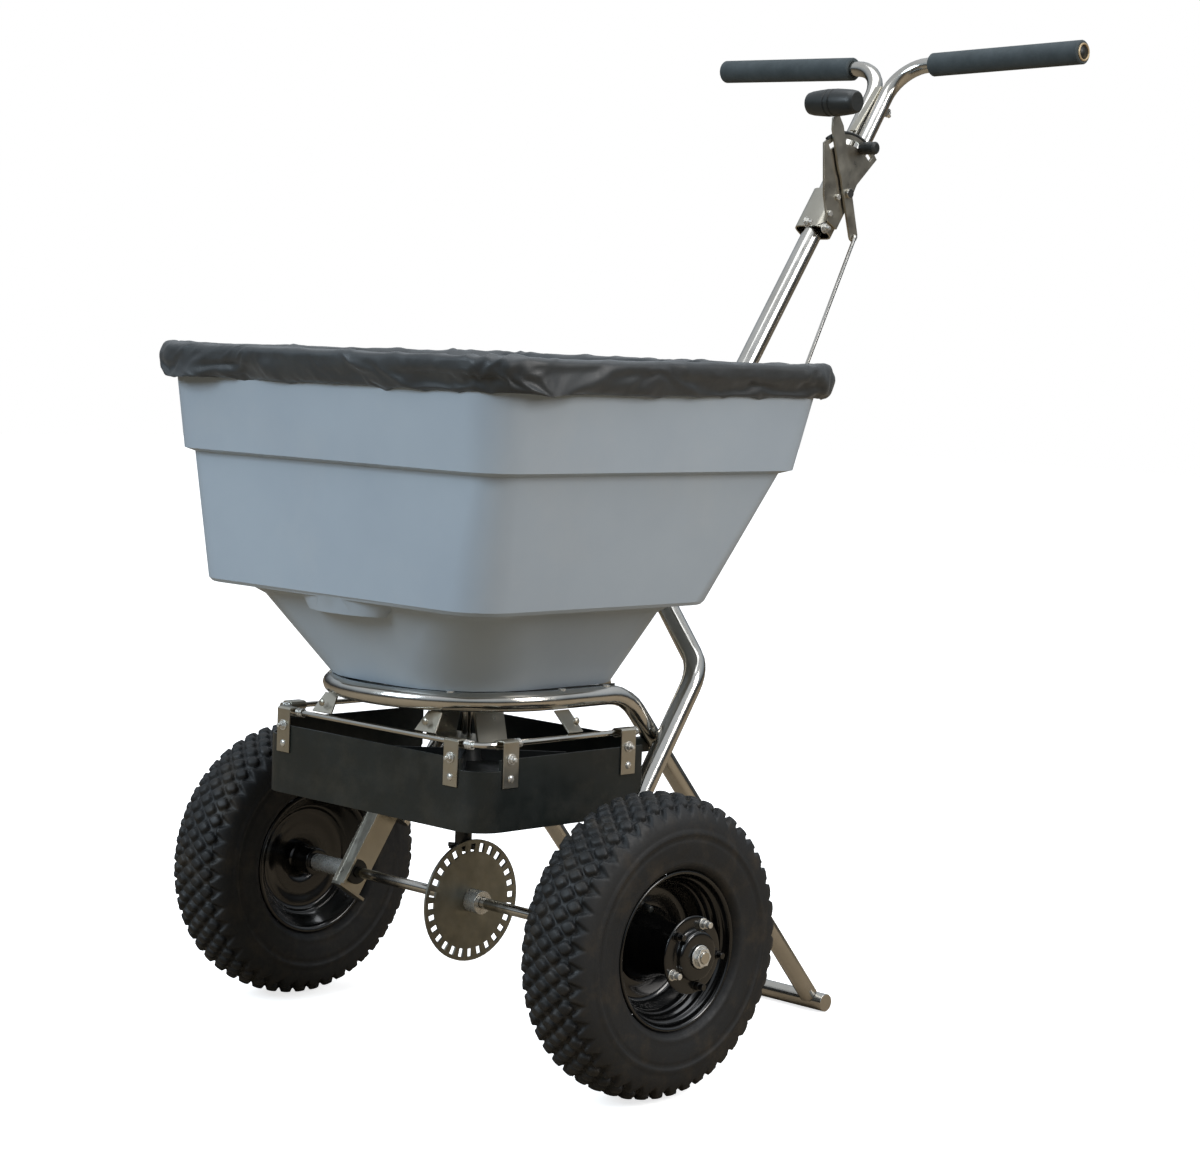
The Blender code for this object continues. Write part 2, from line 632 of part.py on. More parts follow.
def ports(shift=0.0):
    y0, y1 = PORT_Y[0] + shift, PORT_Y[1] + shift
    return [box_outline(PORT_X[0], PORT_X[1], y0, y1),
            box_outline(-PORT_X[1], -PORT_X[0], y0, y1)]


def build_gate(pin_y, pin_z):
    top = HOPPER_Z - GAP
    back = PORT_Y[1] + GATE_TRAVEL + 0.040
    slot = (arc(0, GATE_TRAVEL, 0.0075, 0, 180, 6) + arc(0, 0, 0.0075, 180, 360, 6))
    outline = box_outline(-GATE_HALF, GATE_HALF, -0.074, back)
    level = frame((1, 0, 0), (0, 1, 0), (0, 0, top - GATE_T))
    plate("gate_plate", [outline, slot] + ports(GATE_TRAVEL), GATE_T, level, "plate")
    shelf = top - GATE_T - GAP
    channel_half = GATE_HALF + GAP + 0.002
    profile = [(-channel_half, shelf - 0.002), (channel_half, shelf - 0.002),
               (channel_half, top), (GATE_HALF + GAP, top), (GATE_HALF + GAP, shelf),
               (-GATE_HALF - GAP, shelf), (-GATE_HALF - GAP, top), (-channel_half, top)]
    across = frame((1, 0, 0), (0, 0, 1), (0, 0.082, 0))
    channel = as_mesh(plate("gate_channel", [profile], 0.160, across, "plate"))
    combine(channel, rod_cutter("channel shaft hole", (0, 0, shelf - 0.02), (0, 0, top + 0.01),
                                SHAFT_R + 0.0015))
    for mark, side in (("left", 1), ("right", -1)):
        x0, x1 = sorted((side * PORT_X[0], side * PORT_X[1]))
        cut = box_mesh("port", (x0, PORT_Y[0], shelf - 0.02), (x1, PORT_Y[1], shelf + GAP / 2))
        combine(channel, add_cutter(f"channel port {mark}", cut))
    link_top = top - GATE_T - GAP
    eye, wall = 0.0075, 0.005
    outline = ([(0.119, link_top - 0.010), (0.119, link_top), (0.140, link_top),
                (pin_y - 0.022, pin_z + 0.006)]
               + [(pin_y - 0.010, pin_z + 0.006), (pin_y - 0.008, pin_z + eye + wall),
                  (pin_y + 0.008, pin_z + eye + wall), (pin_y + 0.008, pin_z - eye - wall),
                  (pin_y - 0.008, pin_z - eye - wall), (pin_y - 0.010, pin_z - 0.006),
                  (pin_y - 0.025, pin_z - 0.006), (0.136, link_top - 0.010)])
    slot = (arc(pin_y, pin_z + eye - 0.0036, 0.0036, 0, 180, 5)
            + arc(pin_y, pin_z - eye + 0.0036, 0.0036, 180, 360, 5))
    plate("gate_link", [outline, slot], PLATE_T, side_on(LEVER_X - PLATE_T - GAP), "plate")


# ---------------------------------------------------------------- spinner
def build_spinner():
    low = AXLE_Z + GEAR_R - 0.0092 - 0.0022
    shaft_low = low - 0.004
    turned("impeller_shaft", rod_profile(SHAFT_R, shaft_low, HOPPER_Z + 0.0392), "steel", None, 16,
           ring=False)
    star = []
    tip, root, half = PINION_R + 0.0032, 0.0104, 0.0018
    for k in range(PINION_TEETH):
        turn = Matrix.Rotation(2 * math.pi * k / PINION_TEETH, 2)
        tooth = [(root, -half), (tip - 0.0008, -half), (tip, -half * 0.5),
                 (tip, half * 0.5), (tip - 0.0008, half), (root, half)]
        star += [tuple(turn @ Vector(c)) for c in tooth]
    bore = SHAFT_R + GAP
    level = frame((1, 0, 0), (0, 1, 0), (0, 0, low))
    pinion = as_mesh(plate("pinion", [star, circle(0, 0, bore, 16)], 0.0044, level, "black"))
    collar = turned("pinion collar", ring_profile(0.0098, bore + 0.0002, low - 0.001, PLATE_Z - 0.028),
                    "black", None, 20)
    helper = add_cutter("collar", evaluated_mesh(collar))
    bpy.data.objects.remove(collar, do_unlink=True)
    combine(pinion, helper, "UNION")
    build_impeller()
    build_shaft_carriers()


def build_impeller():
    bore = SHAFT_R + GAP
    z = IMPELLER_Z
    profile = [(0.0150, z + 0.024), (0.0180, z + 0.006), (IMPELLER_R, z), (IMPELLER_R, z - 0.0025),
               (0.0180, z), (0.0150, z - 0.014), (bore, z - 0.014), (bore, z + 0.024)]
    impeller = turned("impeller", profile, "black", None, 32)
    for k in range(4):
        turn = Matrix.Rotation(math.radians(45 + 90 * k), 4, "Z")
        vane = box_mesh("vane", (0.0140, -0.0015, z - 0.001), (IMPELLER_R - 0.004, 0.0015, z + 0.018),
                        turn)
        combine(impeller, add_cutter(f"vane {k}", vane), "UNION")
    stir = HOPPER_Z + 0.0232
    wand = rounded_path([(SHAFT_R + GAP + 0.0022, 0, stir), (0.040, 0, stir + 0.006),
                         (0.052, 0, stir + 0.032)], (0.010,), 20)
    agitator = as_mesh(tube("agitator", wand, 0.0022, "steel", 2))
    collar = turned("agitator collar", ring_profile(0.0105, SHAFT_R + GAP, stir - 0.006, stir + 0.006),
                    "steel", None, 16)
    combine(agitator, add_cutter("agitator ring", evaluated_mesh(collar)), "UNION")
    bpy.data.objects.remove(collar, do_unlink=True)


def build_shaft_carriers():
    """Lower bearing plate between the side tubes, its bush, and the trapezoid hanger."""
    level, t = PLATE_Z, PLATE_T
    half, front, back = SIDE_FOOT[0] - TUBE_R - 0.0043, 0.078, 0.112
    outline = [(-half, front), (-0.045, front), (-0.022, 0.040), (-0.022, -0.022),
               (0.022, -0.022), (0.022, 0.040), (0.045, front), (half, front),
               (half, back), (-half, back)]
    plate("bearing_plate", [outline, circle(0, 0, 0.0110, 16)], t,
          frame((1, 0, 0), (0, 1, 0), (0, 0, level)), "plate")
    bore = SHAFT_R + GAP
    profile = [(0.0110 - GAP, level + t + 0.002), (0.0110 - GAP, level - GAP),
               (0.0160, level - GAP), (0.0160, level - 0.006), (0.0105, level - 0.008),
               (0.0105, level - 0.028 + GAP), (bore, level - 0.028 + GAP), (bore, level + t + 0.002)]
    turned("shaft_bush", profile, "black", None, 20)
    top = HOPPER_Z - GAP - GATE_T - 2 * GAP - 0.002
    low, wall = LOOP_Z - 0.0615, 0.002
    outer = [(-0.045, low), (0.045, low), (0.028, top), (-0.028, top)]
    inner = [(-0.045 + wall * 1.9, low + wall), (0.045 - wall * 1.9, low + wall),
             (0.028 - wall * 1.2, top - wall), (-0.028 + wall * 1.2, top - wall)]
    hanger = as_mesh(plate("shaft_hanger", [outer, inner], 0.044,
                           frame((1, 0, 0), (0, 0, 1), (0, 0.022, 0)), "plate"))
    combine(hanger, rod_cutter("hanger shaft hole", (0, 0, low - 0.02), (0, 0, top + 0.01),
                               SHAFT_R + 0.0006))


# ---------------------------------------------------------------- hopper and cover
def ring_at(z, half, front, back, front_r, back_r):
    return [(x, y, z) for x, y in round_box(half, front, back, front_r, back_r)]


def hopper_levels():
    """Outside levels from the bottom up: z, half width, front, back, corner radii."""
    step_in, step = 0.012, 0.7895
    mix = lambda a, b, t: a + (b - a) * t
    mid_half = mix(HOPPER_HALF, HOPPER_TOP_HALF, step)
    mid_front = mix(HOPPER_FRONT, HOPPER_TOP_FRONT, 0.61)
    mid_back = mix(HOPPER_BACK, HOPPER_TOP_BACK, step)
    z1, z2, z3 = HOPPER_SHOULDER_Z, HOPPER_STEP_Z, HOPPER_TOP_Z
    return [
        (HOPPER_Z, 0.138, -0.140, 0.125, 0.100, 0.060),
        (z1 - 0.012, HOPPER_HALF - 0.040, HOPPER_FRONT + 0.036, HOPPER_BACK - 0.022, 0.075,
         0.060),
        (z1 - 0.003, HOPPER_HALF - 0.030, HOPPER_FRONT + 0.028, HOPPER_BACK - 0.016, 0.060,
         0.050),
        (z1, HOPPER_HALF - 0.004, HOPPER_FRONT + 0.004, HOPPER_BACK - 0.003, 0.042, 0.040),
        (z1 + 0.004, HOPPER_HALF, HOPPER_FRONT, HOPPER_BACK, 0.046, 0.042),
        (z2 - 0.004, mid_half - step_in, mid_front + step_in, mid_back - 0.018, 0.036, 0.034),
        (z2, mid_half, mid_front, mid_back, 0.048, 0.046),
        (z3 - 0.014, HOPPER_TOP_HALF, HOPPER_TOP_FRONT, HOPPER_TOP_BACK, 0.048, 0.046),
        (z3 - 0.012, HOPPER_TOP_HALF + LIP, HOPPER_TOP_FRONT - LIP, HOPPER_TOP_BACK + LIP,
         0.059, 0.057),
        (z3, HOPPER_TOP_HALF + LIP, HOPPER_TOP_FRONT - LIP, HOPPER_TOP_BACK + LIP, 0.059,
         0.057),
    ]


def inset(level, depth, rise=0.0):
    z, half, front, back, front_r, back_r = level
    return ring_at(z + rise, half - depth, front + depth, back - depth, front_r - depth,
                   back_r - depth)


def build_hopper():
    levels = hopper_levels()
    wall = HOPPER_WALL
    inner = [inset(levels[9], wall + LIP), inset(levels[7], wall, -0.004),
             inset(levels[6], wall, 0.003), inset(levels[5], wall, 0.001),
             inset(levels[4], wall, 0.004), inset(levels[2], wall, 0.009),
             inset(levels[1], wall, 0.006), inset(levels[0], wall + 0.003, wall)]
    hopper = loft("hopper", [ring_at(*level) for level in levels] + inner, "grey")
    ledge_y = HOPPER_FRONT + 0.002
    reach, drop = 0.078, 0.017
    rings = []
    for z, grow in ((HOPPER_SHOULDER_Z - drop, 0.80), (HOPPER_SHOULDER_Z + 0.0015, 1.0)):
        bow = arc(0, 0, 1.0, 180, 360, 12)
        rings.append([(reach * grow * x, ledge_y + 0.030 + 0.0295 * grow * y, z)
                      for x, y in bow])
    ledge = loft("ledge", rings, "grey")
    helper = add_cutter("front ledge", evaluated_mesh(ledge))
    bpy.data.objects.remove(ledge, do_unlink=True)
    combine(hopper, helper, "UNION")
    combine(hopper, rod_cutter("floor shaft hole", (0, 0, HOPPER_Z - 0.02), (0, 0, HOPPER_Z + 0.02),
                               SHAFT_R + 0.001))
    for mark, side in (("left", 1), ("right", -1)):
        x0, x1 = sorted((side * PORT_X[0], side * PORT_X[1]))
        cut = box_mesh("port", (x0, PORT_Y[0], HOPPER_Z - 0.02), (x1, PORT_Y[1], HOPPER_Z + 0.02))
        combine(hopper, add_cutter(f"floor port {mark}", cut))


def build_cover():
    """Elasticated rain cover as a plain closed shell over the lip."""
    clear, skin = 0.0045, 0.0040
    reach = LIP + COVER_REACH
    low, high = HOPPER_TOP_Z - 0.034, HOPPER_TOP_Z + GAP + 0.006
    top = (high, HOPPER_TOP_HALF, HOPPER_TOP_FRONT, HOPPER_TOP_BACK, 0.048, 0.046)

    def ring(z, out):
        return inset((z, *top[1:]), -out)

    hollow = LIP + clear
    rings = [ring(high, -0.060), ring(high - 0.0015, reach - 0.014),
             ring(high - 0.010, reach - 0.002), ring(high - 0.020, reach),
             ring(low + 0.004, reach), ring(low, reach - 0.002), ring(low, hollow),
             ring(HOPPER_TOP_Z - 0.004, hollow), ring(HOPPER_TOP_Z + GAP, hollow - skin),
             ring(HOPPER_TOP_Z + GAP, LIP - 0.006), ring(high - 0.002, LIP - 0.008),
             ring(high - 0.002, -0.060)]
    return loft("rain_cover", list(reversed(rings)), "cloth")


# ---------------------------------------------------------------- deflector
def wire_path(out, z, back):
    half, front = WIRE_HALF + out, WIRE_FRONT - out
    corners = [(half, back, z), (half, front, z), (-half, front, z), (-half, back, z)]
    return rounded_path(corners, (0.025 + out, 0.025 + out), 15)


def build_deflector():
    tube("deflector_wire", wire_path(0, WIRE_Z, WIRE_BACK), WIRE_R, "steel", 2)
    low, high = SKIRT_TOP_Z - SKIRT_DROP, SKIRT_TOP_Z
    thick = 0.003
    outer = [p.to_2d() for p in wire_path(SKIRT_OUT + thick / 2, 0, WIRE_BACK)]
    inner = [p.to_2d() for p in wire_path(SKIRT_OUT - thick / 2, 0, WIRE_BACK)]
    outline = [tuple(p) for p in outer] + [tuple(p) for p in reversed(inner)]
    skirt = as_mesh(plate("deflector_skirt", [outline], high - low,
                          frame((1, 0, 0), (0, 1, 0), (0, 0, low)), "black"))
    for mark, side in (("left", 1), ("right", -1)):
        x0, x1 = sorted((side * (WIRE_HALF - 0.022), side * (WIRE_HALF + 0.03)))
        notch = box_mesh("notch", (x0, WIRE_FRONT - 0.03, high - 0.012),
                         (x1, WIRE_FRONT + 0.022, high + 0.01))
        combine(skirt, add_cutter(f"skirt notch {mark}", notch))
    foot, bend = Vector(SIDE_FOOT[1:]), Vector(SIDE_BEND[1:])
    run = (bend - foot).normalized()
    beside = frame((0, run.y, -run.x), (0, run.x, run.y), (0, foot.x, foot.y))
    tail = box_mesh("tail", (-TUBE_R - 0.004, -0.05, -0.25), (0.10, 0.30, 0.25), beside)
    combine(skirt, add_cutter("skirt tail", tail))
    build_panel(low, high)
    build_clips()
    build_wire_hangers()


def build_panel(low, high):
    """Folded panel that closes the deflector's back, seated on the loop's legs."""
    half, thick, fold = LOOP_HALF + 0.001, 0.003, 0.016
    back = PANEL_Y + thick
    outline = [(-half, back), (-half, PANEL_Y - fold), (-half + thick, PANEL_Y - fold),
               (-half + thick, PANEL_Y), (half - thick, PANEL_Y),
               (half - thick, PANEL_Y - fold), (half, PANEL_Y - fold), (half, back)]
    panel = as_mesh(plate("deflector_panel", [outline], high - low,
                          frame((1, 0, 0), (0, 1, 0), (0, 0, low)), "black"))
    for mark, side in (("left", 1), ("right", -1)):
        x0, x1 = sorted((side * (LOOP_HALF - 0.012), side * half))
        boss = box_mesh("boss", (x0, PANEL_Y + 0.001, high - 0.016), (x1, back + 0.012, high))
        combine(panel, add_cutter(f"panel boss {mark}", boss), "UNION")
        leg = rod_cutter(f"leg seat {mark}", (side * LOOP_HALF, LOOP_BACK, LOOP_Z),
                         (side * LOOP_HALF, LOOP_BACK + STAND_SLOPE * 0.2, LOOP_Z - 0.2),
                         LOOP_R + GAP, 32)
        combine(panel, leg)


def clip_outline():
    """Outward from the wire and up: a strap with an eye round the wire."""
    eye, skin = WIRE_R + GAP, 0.0018
    near = SKIRT_OUT + 0.0015 + GAP
    far = near + skin
    low = -0.046
    return ([(far, low), (far, eye + skin - 0.002), (far - 0.002, eye + skin)]
            + arc(0, 0, eye + skin, 90, 360 - 155 + 90 - 90 + 90, 9)
            + arc(0, 0, eye, 360 - 155 + 90 - 90 + 90, 90, 9)
            + [(near, eye), (near, low)])


def build_clips():
    width = 0.022
    places = [("front_left", (0.1425, WIRE_FRONT), (0, -1)),
              ("front_right", (-0.1425, WIRE_FRONT), (0, -1)),
              ("left_front", (WIRE_HALF, -0.106), (1, 0)),
              ("left_back", (WIRE_HALF, 0.072), (1, 0)),
              ("right_front", (-WIRE_HALF, -0.106), (-1, 0)),
              ("right_back", (-WIRE_HALF, 0.072), (-1, 0))]
    for mark, (x, y), out in places:
        place = frame((*out, 0), (0, 0, 1), (x, y, WIRE_Z))
        place = place @ Matrix.Translation((0, 0, -width / 2))
        plate(f"skirt_clip_{mark}", [clip_outline()], width, place, "plate")


def build_wire_hangers():
    """Straps from the underside of the loop down to the wire."""
    lift = WIRE_R + GAP + 0.0012
    x = 0.088
    centre = LOOP_HALF - LOOP_CORNER
    loop_y = LOOP_FRONT + LOOP_CORNER - math.sqrt(LOOP_CORNER ** 2 - (x - centre) ** 2)
    top_z = LOOP_Z - LOOP_R - GAP - 0.0008
    front = flat_bar("wire_hanger_front_left", (x, WIRE_FRONT, WIRE_Z + lift),
                     (x, loop_y, top_z), 0.017, 0.011, (1, 0, 0), 0.002, "plate")
    mirrored(front, "wire_hanger_front_right", "plate")
    side = flat_bar("wire_hanger_left", (WIRE_HALF, 0, WIRE_Z + lift),
                    (LOOP_HALF + 0.004, 0, top_z + 0.0006), 0.011, 0.011, (0, 1, 0), 0.002, "plate")
    mirrored(side, "wire_hanger_right", "plate")


def gather():
    root = bpy.data.objects.new("garden_spreader", None)
    PARTS.objects.link(root)
    root.location = (0, -MID_Y, 0)
    bpy.context.view_layer.update()
    for obj in list(PARTS.objects) + list(CUTTERS.objects):
        if obj is not root and obj.parent is None:
            obj.parent = root
            obj.matrix_parent_inverse = Matrix.Identity(4)


clear_scene()
PARTS = make_collection("Garden spreader")
CUTTERS = make_collection("Cutters", helper=True)
build_axle()
build_wheel(1, "left")
build_wheel(-1, "right")
build_axle_carriers()
build_loop()
build_upright()
build_handle()
build_rate_plate()
build_lever()
build_linkage()
build_spinner()
build_hopper()
build_cover()
build_deflector()
gather()
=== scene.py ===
"""Looks of the push broadcast spreader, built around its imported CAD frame.

Metres, +Z up, front towards -Y, operator's left towards +X.
"""
import json
import math

import bmesh
import bpy
import numpy as np
from mathutils import Matrix, Vector, noise


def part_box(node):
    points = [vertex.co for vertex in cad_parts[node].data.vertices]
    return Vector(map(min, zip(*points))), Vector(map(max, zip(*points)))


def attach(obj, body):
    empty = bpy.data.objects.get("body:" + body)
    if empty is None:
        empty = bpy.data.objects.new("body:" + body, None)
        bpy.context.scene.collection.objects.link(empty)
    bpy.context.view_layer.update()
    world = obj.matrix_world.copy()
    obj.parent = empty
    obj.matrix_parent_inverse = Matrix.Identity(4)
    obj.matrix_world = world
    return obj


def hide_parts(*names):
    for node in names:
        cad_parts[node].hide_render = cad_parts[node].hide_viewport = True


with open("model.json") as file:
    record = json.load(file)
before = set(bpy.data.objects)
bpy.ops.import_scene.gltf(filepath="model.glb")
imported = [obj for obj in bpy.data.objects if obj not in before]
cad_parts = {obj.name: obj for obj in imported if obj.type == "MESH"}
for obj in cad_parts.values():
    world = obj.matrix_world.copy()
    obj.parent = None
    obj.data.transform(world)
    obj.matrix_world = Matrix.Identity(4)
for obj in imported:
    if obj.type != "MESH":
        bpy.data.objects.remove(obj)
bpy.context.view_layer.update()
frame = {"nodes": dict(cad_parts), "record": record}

# ---------------------------------------------------------------- places read from the frame
AXLE_LOW, AXLE_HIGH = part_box("axle")
AXLE_Y = (AXLE_LOW.y + AXLE_HIGH.y) / 2
TYRE_LOW, TYRE_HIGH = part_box("tyre_left")
WHEEL_R = TYRE_HIGH.z / 2
WHEEL_X = (TYRE_LOW.x + TYRE_HIGH.x) / 2
TYRE_HALF = (TYRE_HIGH.x - TYRE_LOW.x) / 2
RIM_LOW, RIM_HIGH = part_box("rim_left")
RIM_R = (RIM_HIGH.z - RIM_LOW.z) / 2
HUB_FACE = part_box("wheel_hub_left")[1].x - WHEEL_X      # outward from the wheel's middle
HOPPER_LOW, HOPPER_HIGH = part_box("hopper")
LIP = 0.011                 # outward reach of the hopper's lip
PIVOT = (0.591, 1.0015)     # rate lever's pivot, back from the axle and up from the ground
LOOP_R = 0.011              # loop tube's radius
LOOP_CORNER = 0.142         # radius of the loop's front corners, to the tube's middle
GRIP_R = 0.015
HOPPER_TOP = (HOPPER_HIGH.x - LIP, HOPPER_LOW.y + LIP, HOPPER_HIGH.y - LIP)
FRONT_CORNER, BACK_CORNER = 0.048, 0.046                # corner radii of the hopper's top

BODY_OF = {node: body for body, nodes in frame["record"]["behaviour"]["bodies"].items()
           for node in nodes}


# ---------------------------------------------------------------- colour
def linear(red, green, blue):
    """Linear colour of an sRGB colour given as 0 to 255."""
    def one(value):
        value /= 255
        return value / 12.92 if value <= 0.04045 else ((value + 0.055) / 1.055) ** 2.4
    return (one(red), one(green), one(blue), 1.0)


# ---------------------------------------------------------------- materials
class Nodes:
    """A material's node tree with short ways to add and join nodes."""

    def __init__(self, name):
        self.material = bpy.data.materials.new(name)
        self.material.use_nodes = True
        self.tree = self.material.node_tree
        self.shader = self.tree.nodes["Principled BSDF"]
        self.place = self.add("ShaderNodeTexCoord").outputs["Object"]

    def add(self, kind, **settings):
        node = self.tree.nodes.new(kind)
        for key, value in settings.items():
            setattr(node, key, value)
        return node

    def join(self, source, target):
        self.tree.links.new(source, target)

    def noise(self, scale, detail, roughness=0.55):
        node = self.add("ShaderNodeTexNoise")
        node.inputs["Scale"].default_value = scale
        node.inputs["Detail"].default_value = detail
        node.inputs["Roughness"].default_value = roughness
        self.join(self.place, node.inputs["Vector"])
        return node.outputs["Fac"]

    def spread(self, source, low, high, out_low=0.0, out_high=1.0):
        node = self.add("ShaderNodeMapRange")
        node.inputs["From Min"].default_value = low
        node.inputs["From Max"].default_value = high
        node.inputs["To Min"].default_value = out_low
        node.inputs["To Max"].default_value = out_high
        self.join(source, node.inputs["Value"])
        return node.outputs["Result"]

    def mix(self, factor, first, second):
        node = self.add("ShaderNodeMix", data_type="RGBA")
        self.join(factor, node.inputs["Factor"])
        for socket, value in ((node.inputs[6], first), (node.inputs[7], second)):
            if isinstance(value, bpy.types.NodeSocket):
                self.join(value, socket)
            else:
                socket.default_value = value
        return node.outputs[2]

    def bumps(self, layers):
        """Bump layers as (height, strength, distance), the coarsest first."""
        normal = None
        for height, strength, distance in layers:
            node = self.add("ShaderNodeBump")
            node.inputs["Strength"].default_value = strength
            node.inputs["Distance"].default_value = distance
            self.join(height, node.inputs["Height"])
            if normal is not None:
                self.join(normal, node.inputs["Normal"])
            normal = node.outputs["Normal"]
        self.join(normal, self.shader.inputs["Normal"])

    def set(self, **values):
        for key, value in values.items():
            self.shader.inputs[key.replace("_", " ")].default_value = value


def finish(name, first, second, rough, metallic, patch, bumps, dust_and_highlight=None, coat=0.0, sheen=0.0):
    """Two-tone patchy surface: colour and roughness vary, fine bumps, and dust if given, which on
    the tyres is also painted highlight.

    rough is the range of roughness, patch the scale of the patches. Each bump is a scale, a
    strength and a depth, and dust is a colour, an amount and a scale.
    """
    made = Nodes(name)
    patches = made.noise(patch, 4.0, 0.6)
    colour = made.mix(made.spread(patches, 0.32, 0.68), first, second)
    # second colour in patches: dust, and on the tyres painted highlight as well
    if dust_and_highlight:
        tint, amount, size = dust_and_highlight
        layer = made.noise(size, 6.0, 0.7)
        colour = made.mix(made.spread(layer, 0.5, 0.72, 0.0, amount), colour, tint)
    made.join(colour, made.shader.inputs["Base Color"])
    worn = made.noise(patch * 3.7, 5.0, 0.65)
    made.join(made.spread(worn, 0.3, 0.7, *rough), made.shader.inputs["Roughness"])
    made.bumps([(made.noise(size, 3.0, 0.6), strength, depth) for size, strength, depth in bumps])
    made.set(Metallic=metallic)
    if coat:
        made.set(Coat_Weight=coat, Coat_Roughness=0.08)
    if sheen:
        made.set(Sheen_Weight=sheen, Sheen_Roughness=0.5)
    return made.material


LOOKS = {
    "steel": finish("polished stainless", linear(208, 206, 201), linear(190, 187, 179),
                    (0.10, 0.22), 1.0, 14, ((40, 0.015, 0.0006), (1400, 0.05, 0.0001))),
    "plate": finish("brushed stainless", linear(192, 189, 178), linear(176, 171, 158),
                    (0.26, 0.40), 1.0, 14, ((60, 0.03, 0.0004), (900, 0.10, 0.0001))),
    "disc": finish("worn steel disc", linear(150, 149, 139), linear(128, 127, 117),
                   (0.30, 0.46), 1.0, 26, ((50, 0.04, 0.0004), (900, 0.12, 0.0001))),
    "bright": finish("zinc plated", linear(222, 222, 219), linear(204, 202, 195),
                     (0.20, 0.34), 0.7, 60, ((900, 0.08, 0.0001),)),
    "worn": finish("bare tube end", linear(196, 176, 142), linear(168, 146, 112),
                   (0.34, 0.50), 0.4, 60, ((900, 0.15, 0.0001),)),
    "hopper": finish("moulded grey plastic", linear(166, 178, 189), linear(159, 171, 183),
                     (0.36, 0.50), 0.0, 5, ((14, 0.06, 0.0010), (1100, 0.10, 0.0001)),
                     (linear(182, 186, 188), 0.22, 7)),
    "skirt": finish("dark moulded plastic", linear(23, 30, 29), linear(17, 23, 22),
                    (0.34, 0.50), 0.0, 12, ((30, 0.08, 0.0008), (1300, 0.12, 0.0001)),
                    (linear(92, 86, 76), 0.18, 16)),
    "black": finish("black plastic", linear(40, 43, 43), linear(28, 31, 31),
                    (0.32, 0.48), 0.0, 30, ((1200, 0.12, 0.0001),)),
    "rim": finish("gloss black paint", linear(9, 10, 11), linear(6, 7, 7),
                  (0.12, 0.24), 0.0, 10, ((40, 0.05, 0.0008),),
                  (linear(60, 54, 48), 0.08, 22), coat=0.4),
    # brown patches on the tyres are partly dust and partly painted highlight, made browner for the
    # sidewall's brownish highlights
    "tyre": finish("tyre rubber", linear(16, 19, 22), linear(10, 12, 14),
                   (0.50, 0.72), 0.0, 20, ((90, 0.12, 0.0010), (1200, 0.25, 0.0002)),
                   (linear(66, 56, 42), 0.42, 26)),
    "foam": finish("foam rubber", linear(66, 74, 77), linear(54, 62, 65),
                   (0.74, 0.90), 0.0, 40, ((420, 0.35, 0.0005), (1500, 0.3, 0.0002))),
    "cover": finish("coated nylon cloth", linear(45, 50, 53), linear(34, 38, 41),
                    (0.40, 0.56), 0.0, 16, ((120, 0.10, 0.0006), (1900, 0.25, 0.0001)),
                    sheen=0.15),
}


# ---------------------------------------------------------------- pieces
def shown(name, mesh, look, body, slot, *nodes):
    """Places a mesh that is already in the row frame, on its body."""
    made = bpy.data.objects.new(name, mesh)
    bpy.context.scene.collection.objects.link(made)
    made.data.materials.clear()
    made.data.materials.append(LOOKS[look])
    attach(made, body)
    if nodes:
        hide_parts(*nodes)
    return made


def mesh_of(name, points, faces, matrix=None):
    """Smooth-shaded mesh, with points that coincide made one."""
    mesh = bpy.data.meshes.new(name)
    mesh.from_pydata([tuple(p) for p in points], [], [tuple(f) for f in faces])
    form = bmesh.new()
    form.from_mesh(mesh)
    bmesh.ops.remove_doubles(form, verts=form.verts, dist=1e-6)
    bmesh.ops.recalc_face_normals(form, faces=form.faces)
    form.to_mesh(mesh)
    form.free()
    if matrix is not None:
        mesh.transform(matrix)
    mesh.shade_smooth()
    return mesh


def soften(obj, width, segments=2, angle=32):
    """Rounds the edges sharper than the angle."""
    step = obj.modifiers.new("soft edges", "BEVEL")
    step.width = width
    step.segments = segments
    step.limit_method = "ANGLE"
    step.angle_limit = math.radians(angle)
    step.harden_normals = True
    return obj


def refined(node, look, slot):
    """The CAD node's own shape with soft edges; the slotted disc is shaded by its edges alone."""
    mesh = frame["nodes"][node].data.copy()
    form = bmesh.new()
    form.from_mesh(mesh)
    bmesh.ops.remove_doubles(form, verts=form.verts, dist=2e-5)
    if look != "disc":
        bmesh.ops.dissolve_limit(form, angle_limit=math.radians(0.8), verts=form.verts,
                                 edges=form.edges)
    form.to_mesh(mesh)
    form.free()
    if "custom_normal" in mesh.attributes:
        mesh.attributes.remove(mesh.attributes["custom_normal"])
    mesh.shade_smooth()
    made = shown(node + ".finished", mesh, look, BODY_OF[node], slot, node)
    if look == "disc":
        mesh.set_sharp_from_angle(angle=math.radians(30))
        return made
    return soften(made, 0.0004)


def lathe(name, profile, matrix, segments=96, closed=True):
    """Turned mesh of the profile (radius, height) about the matrix's Z axis."""
    count = len(profile)
    points = [(r * math.cos(a), r * math.sin(a), z)
              for a in (2 * math.pi * k / segments for k in range(segments))
              for r, z in profile]
    faces = []
    for k in range(segments):
        ahead = (k + 1) % segments
        for i in range(count if closed else count - 1):
            j = (i + 1) % count
            faces.append((k * count + i, ahead * count + i, ahead * count + j, k * count + j))
    return mesh_of(name, points, faces, matrix)


def along_x(side, x):
    """Wheel's own frame: Z outward along the axle."""
    turn = Matrix(((0, 0, side), (side, 0, 0), (0, 1, 0))).to_4x4()
    return Matrix.Translation((side * x, AXLE_Y, WHEEL_R)) @ turn


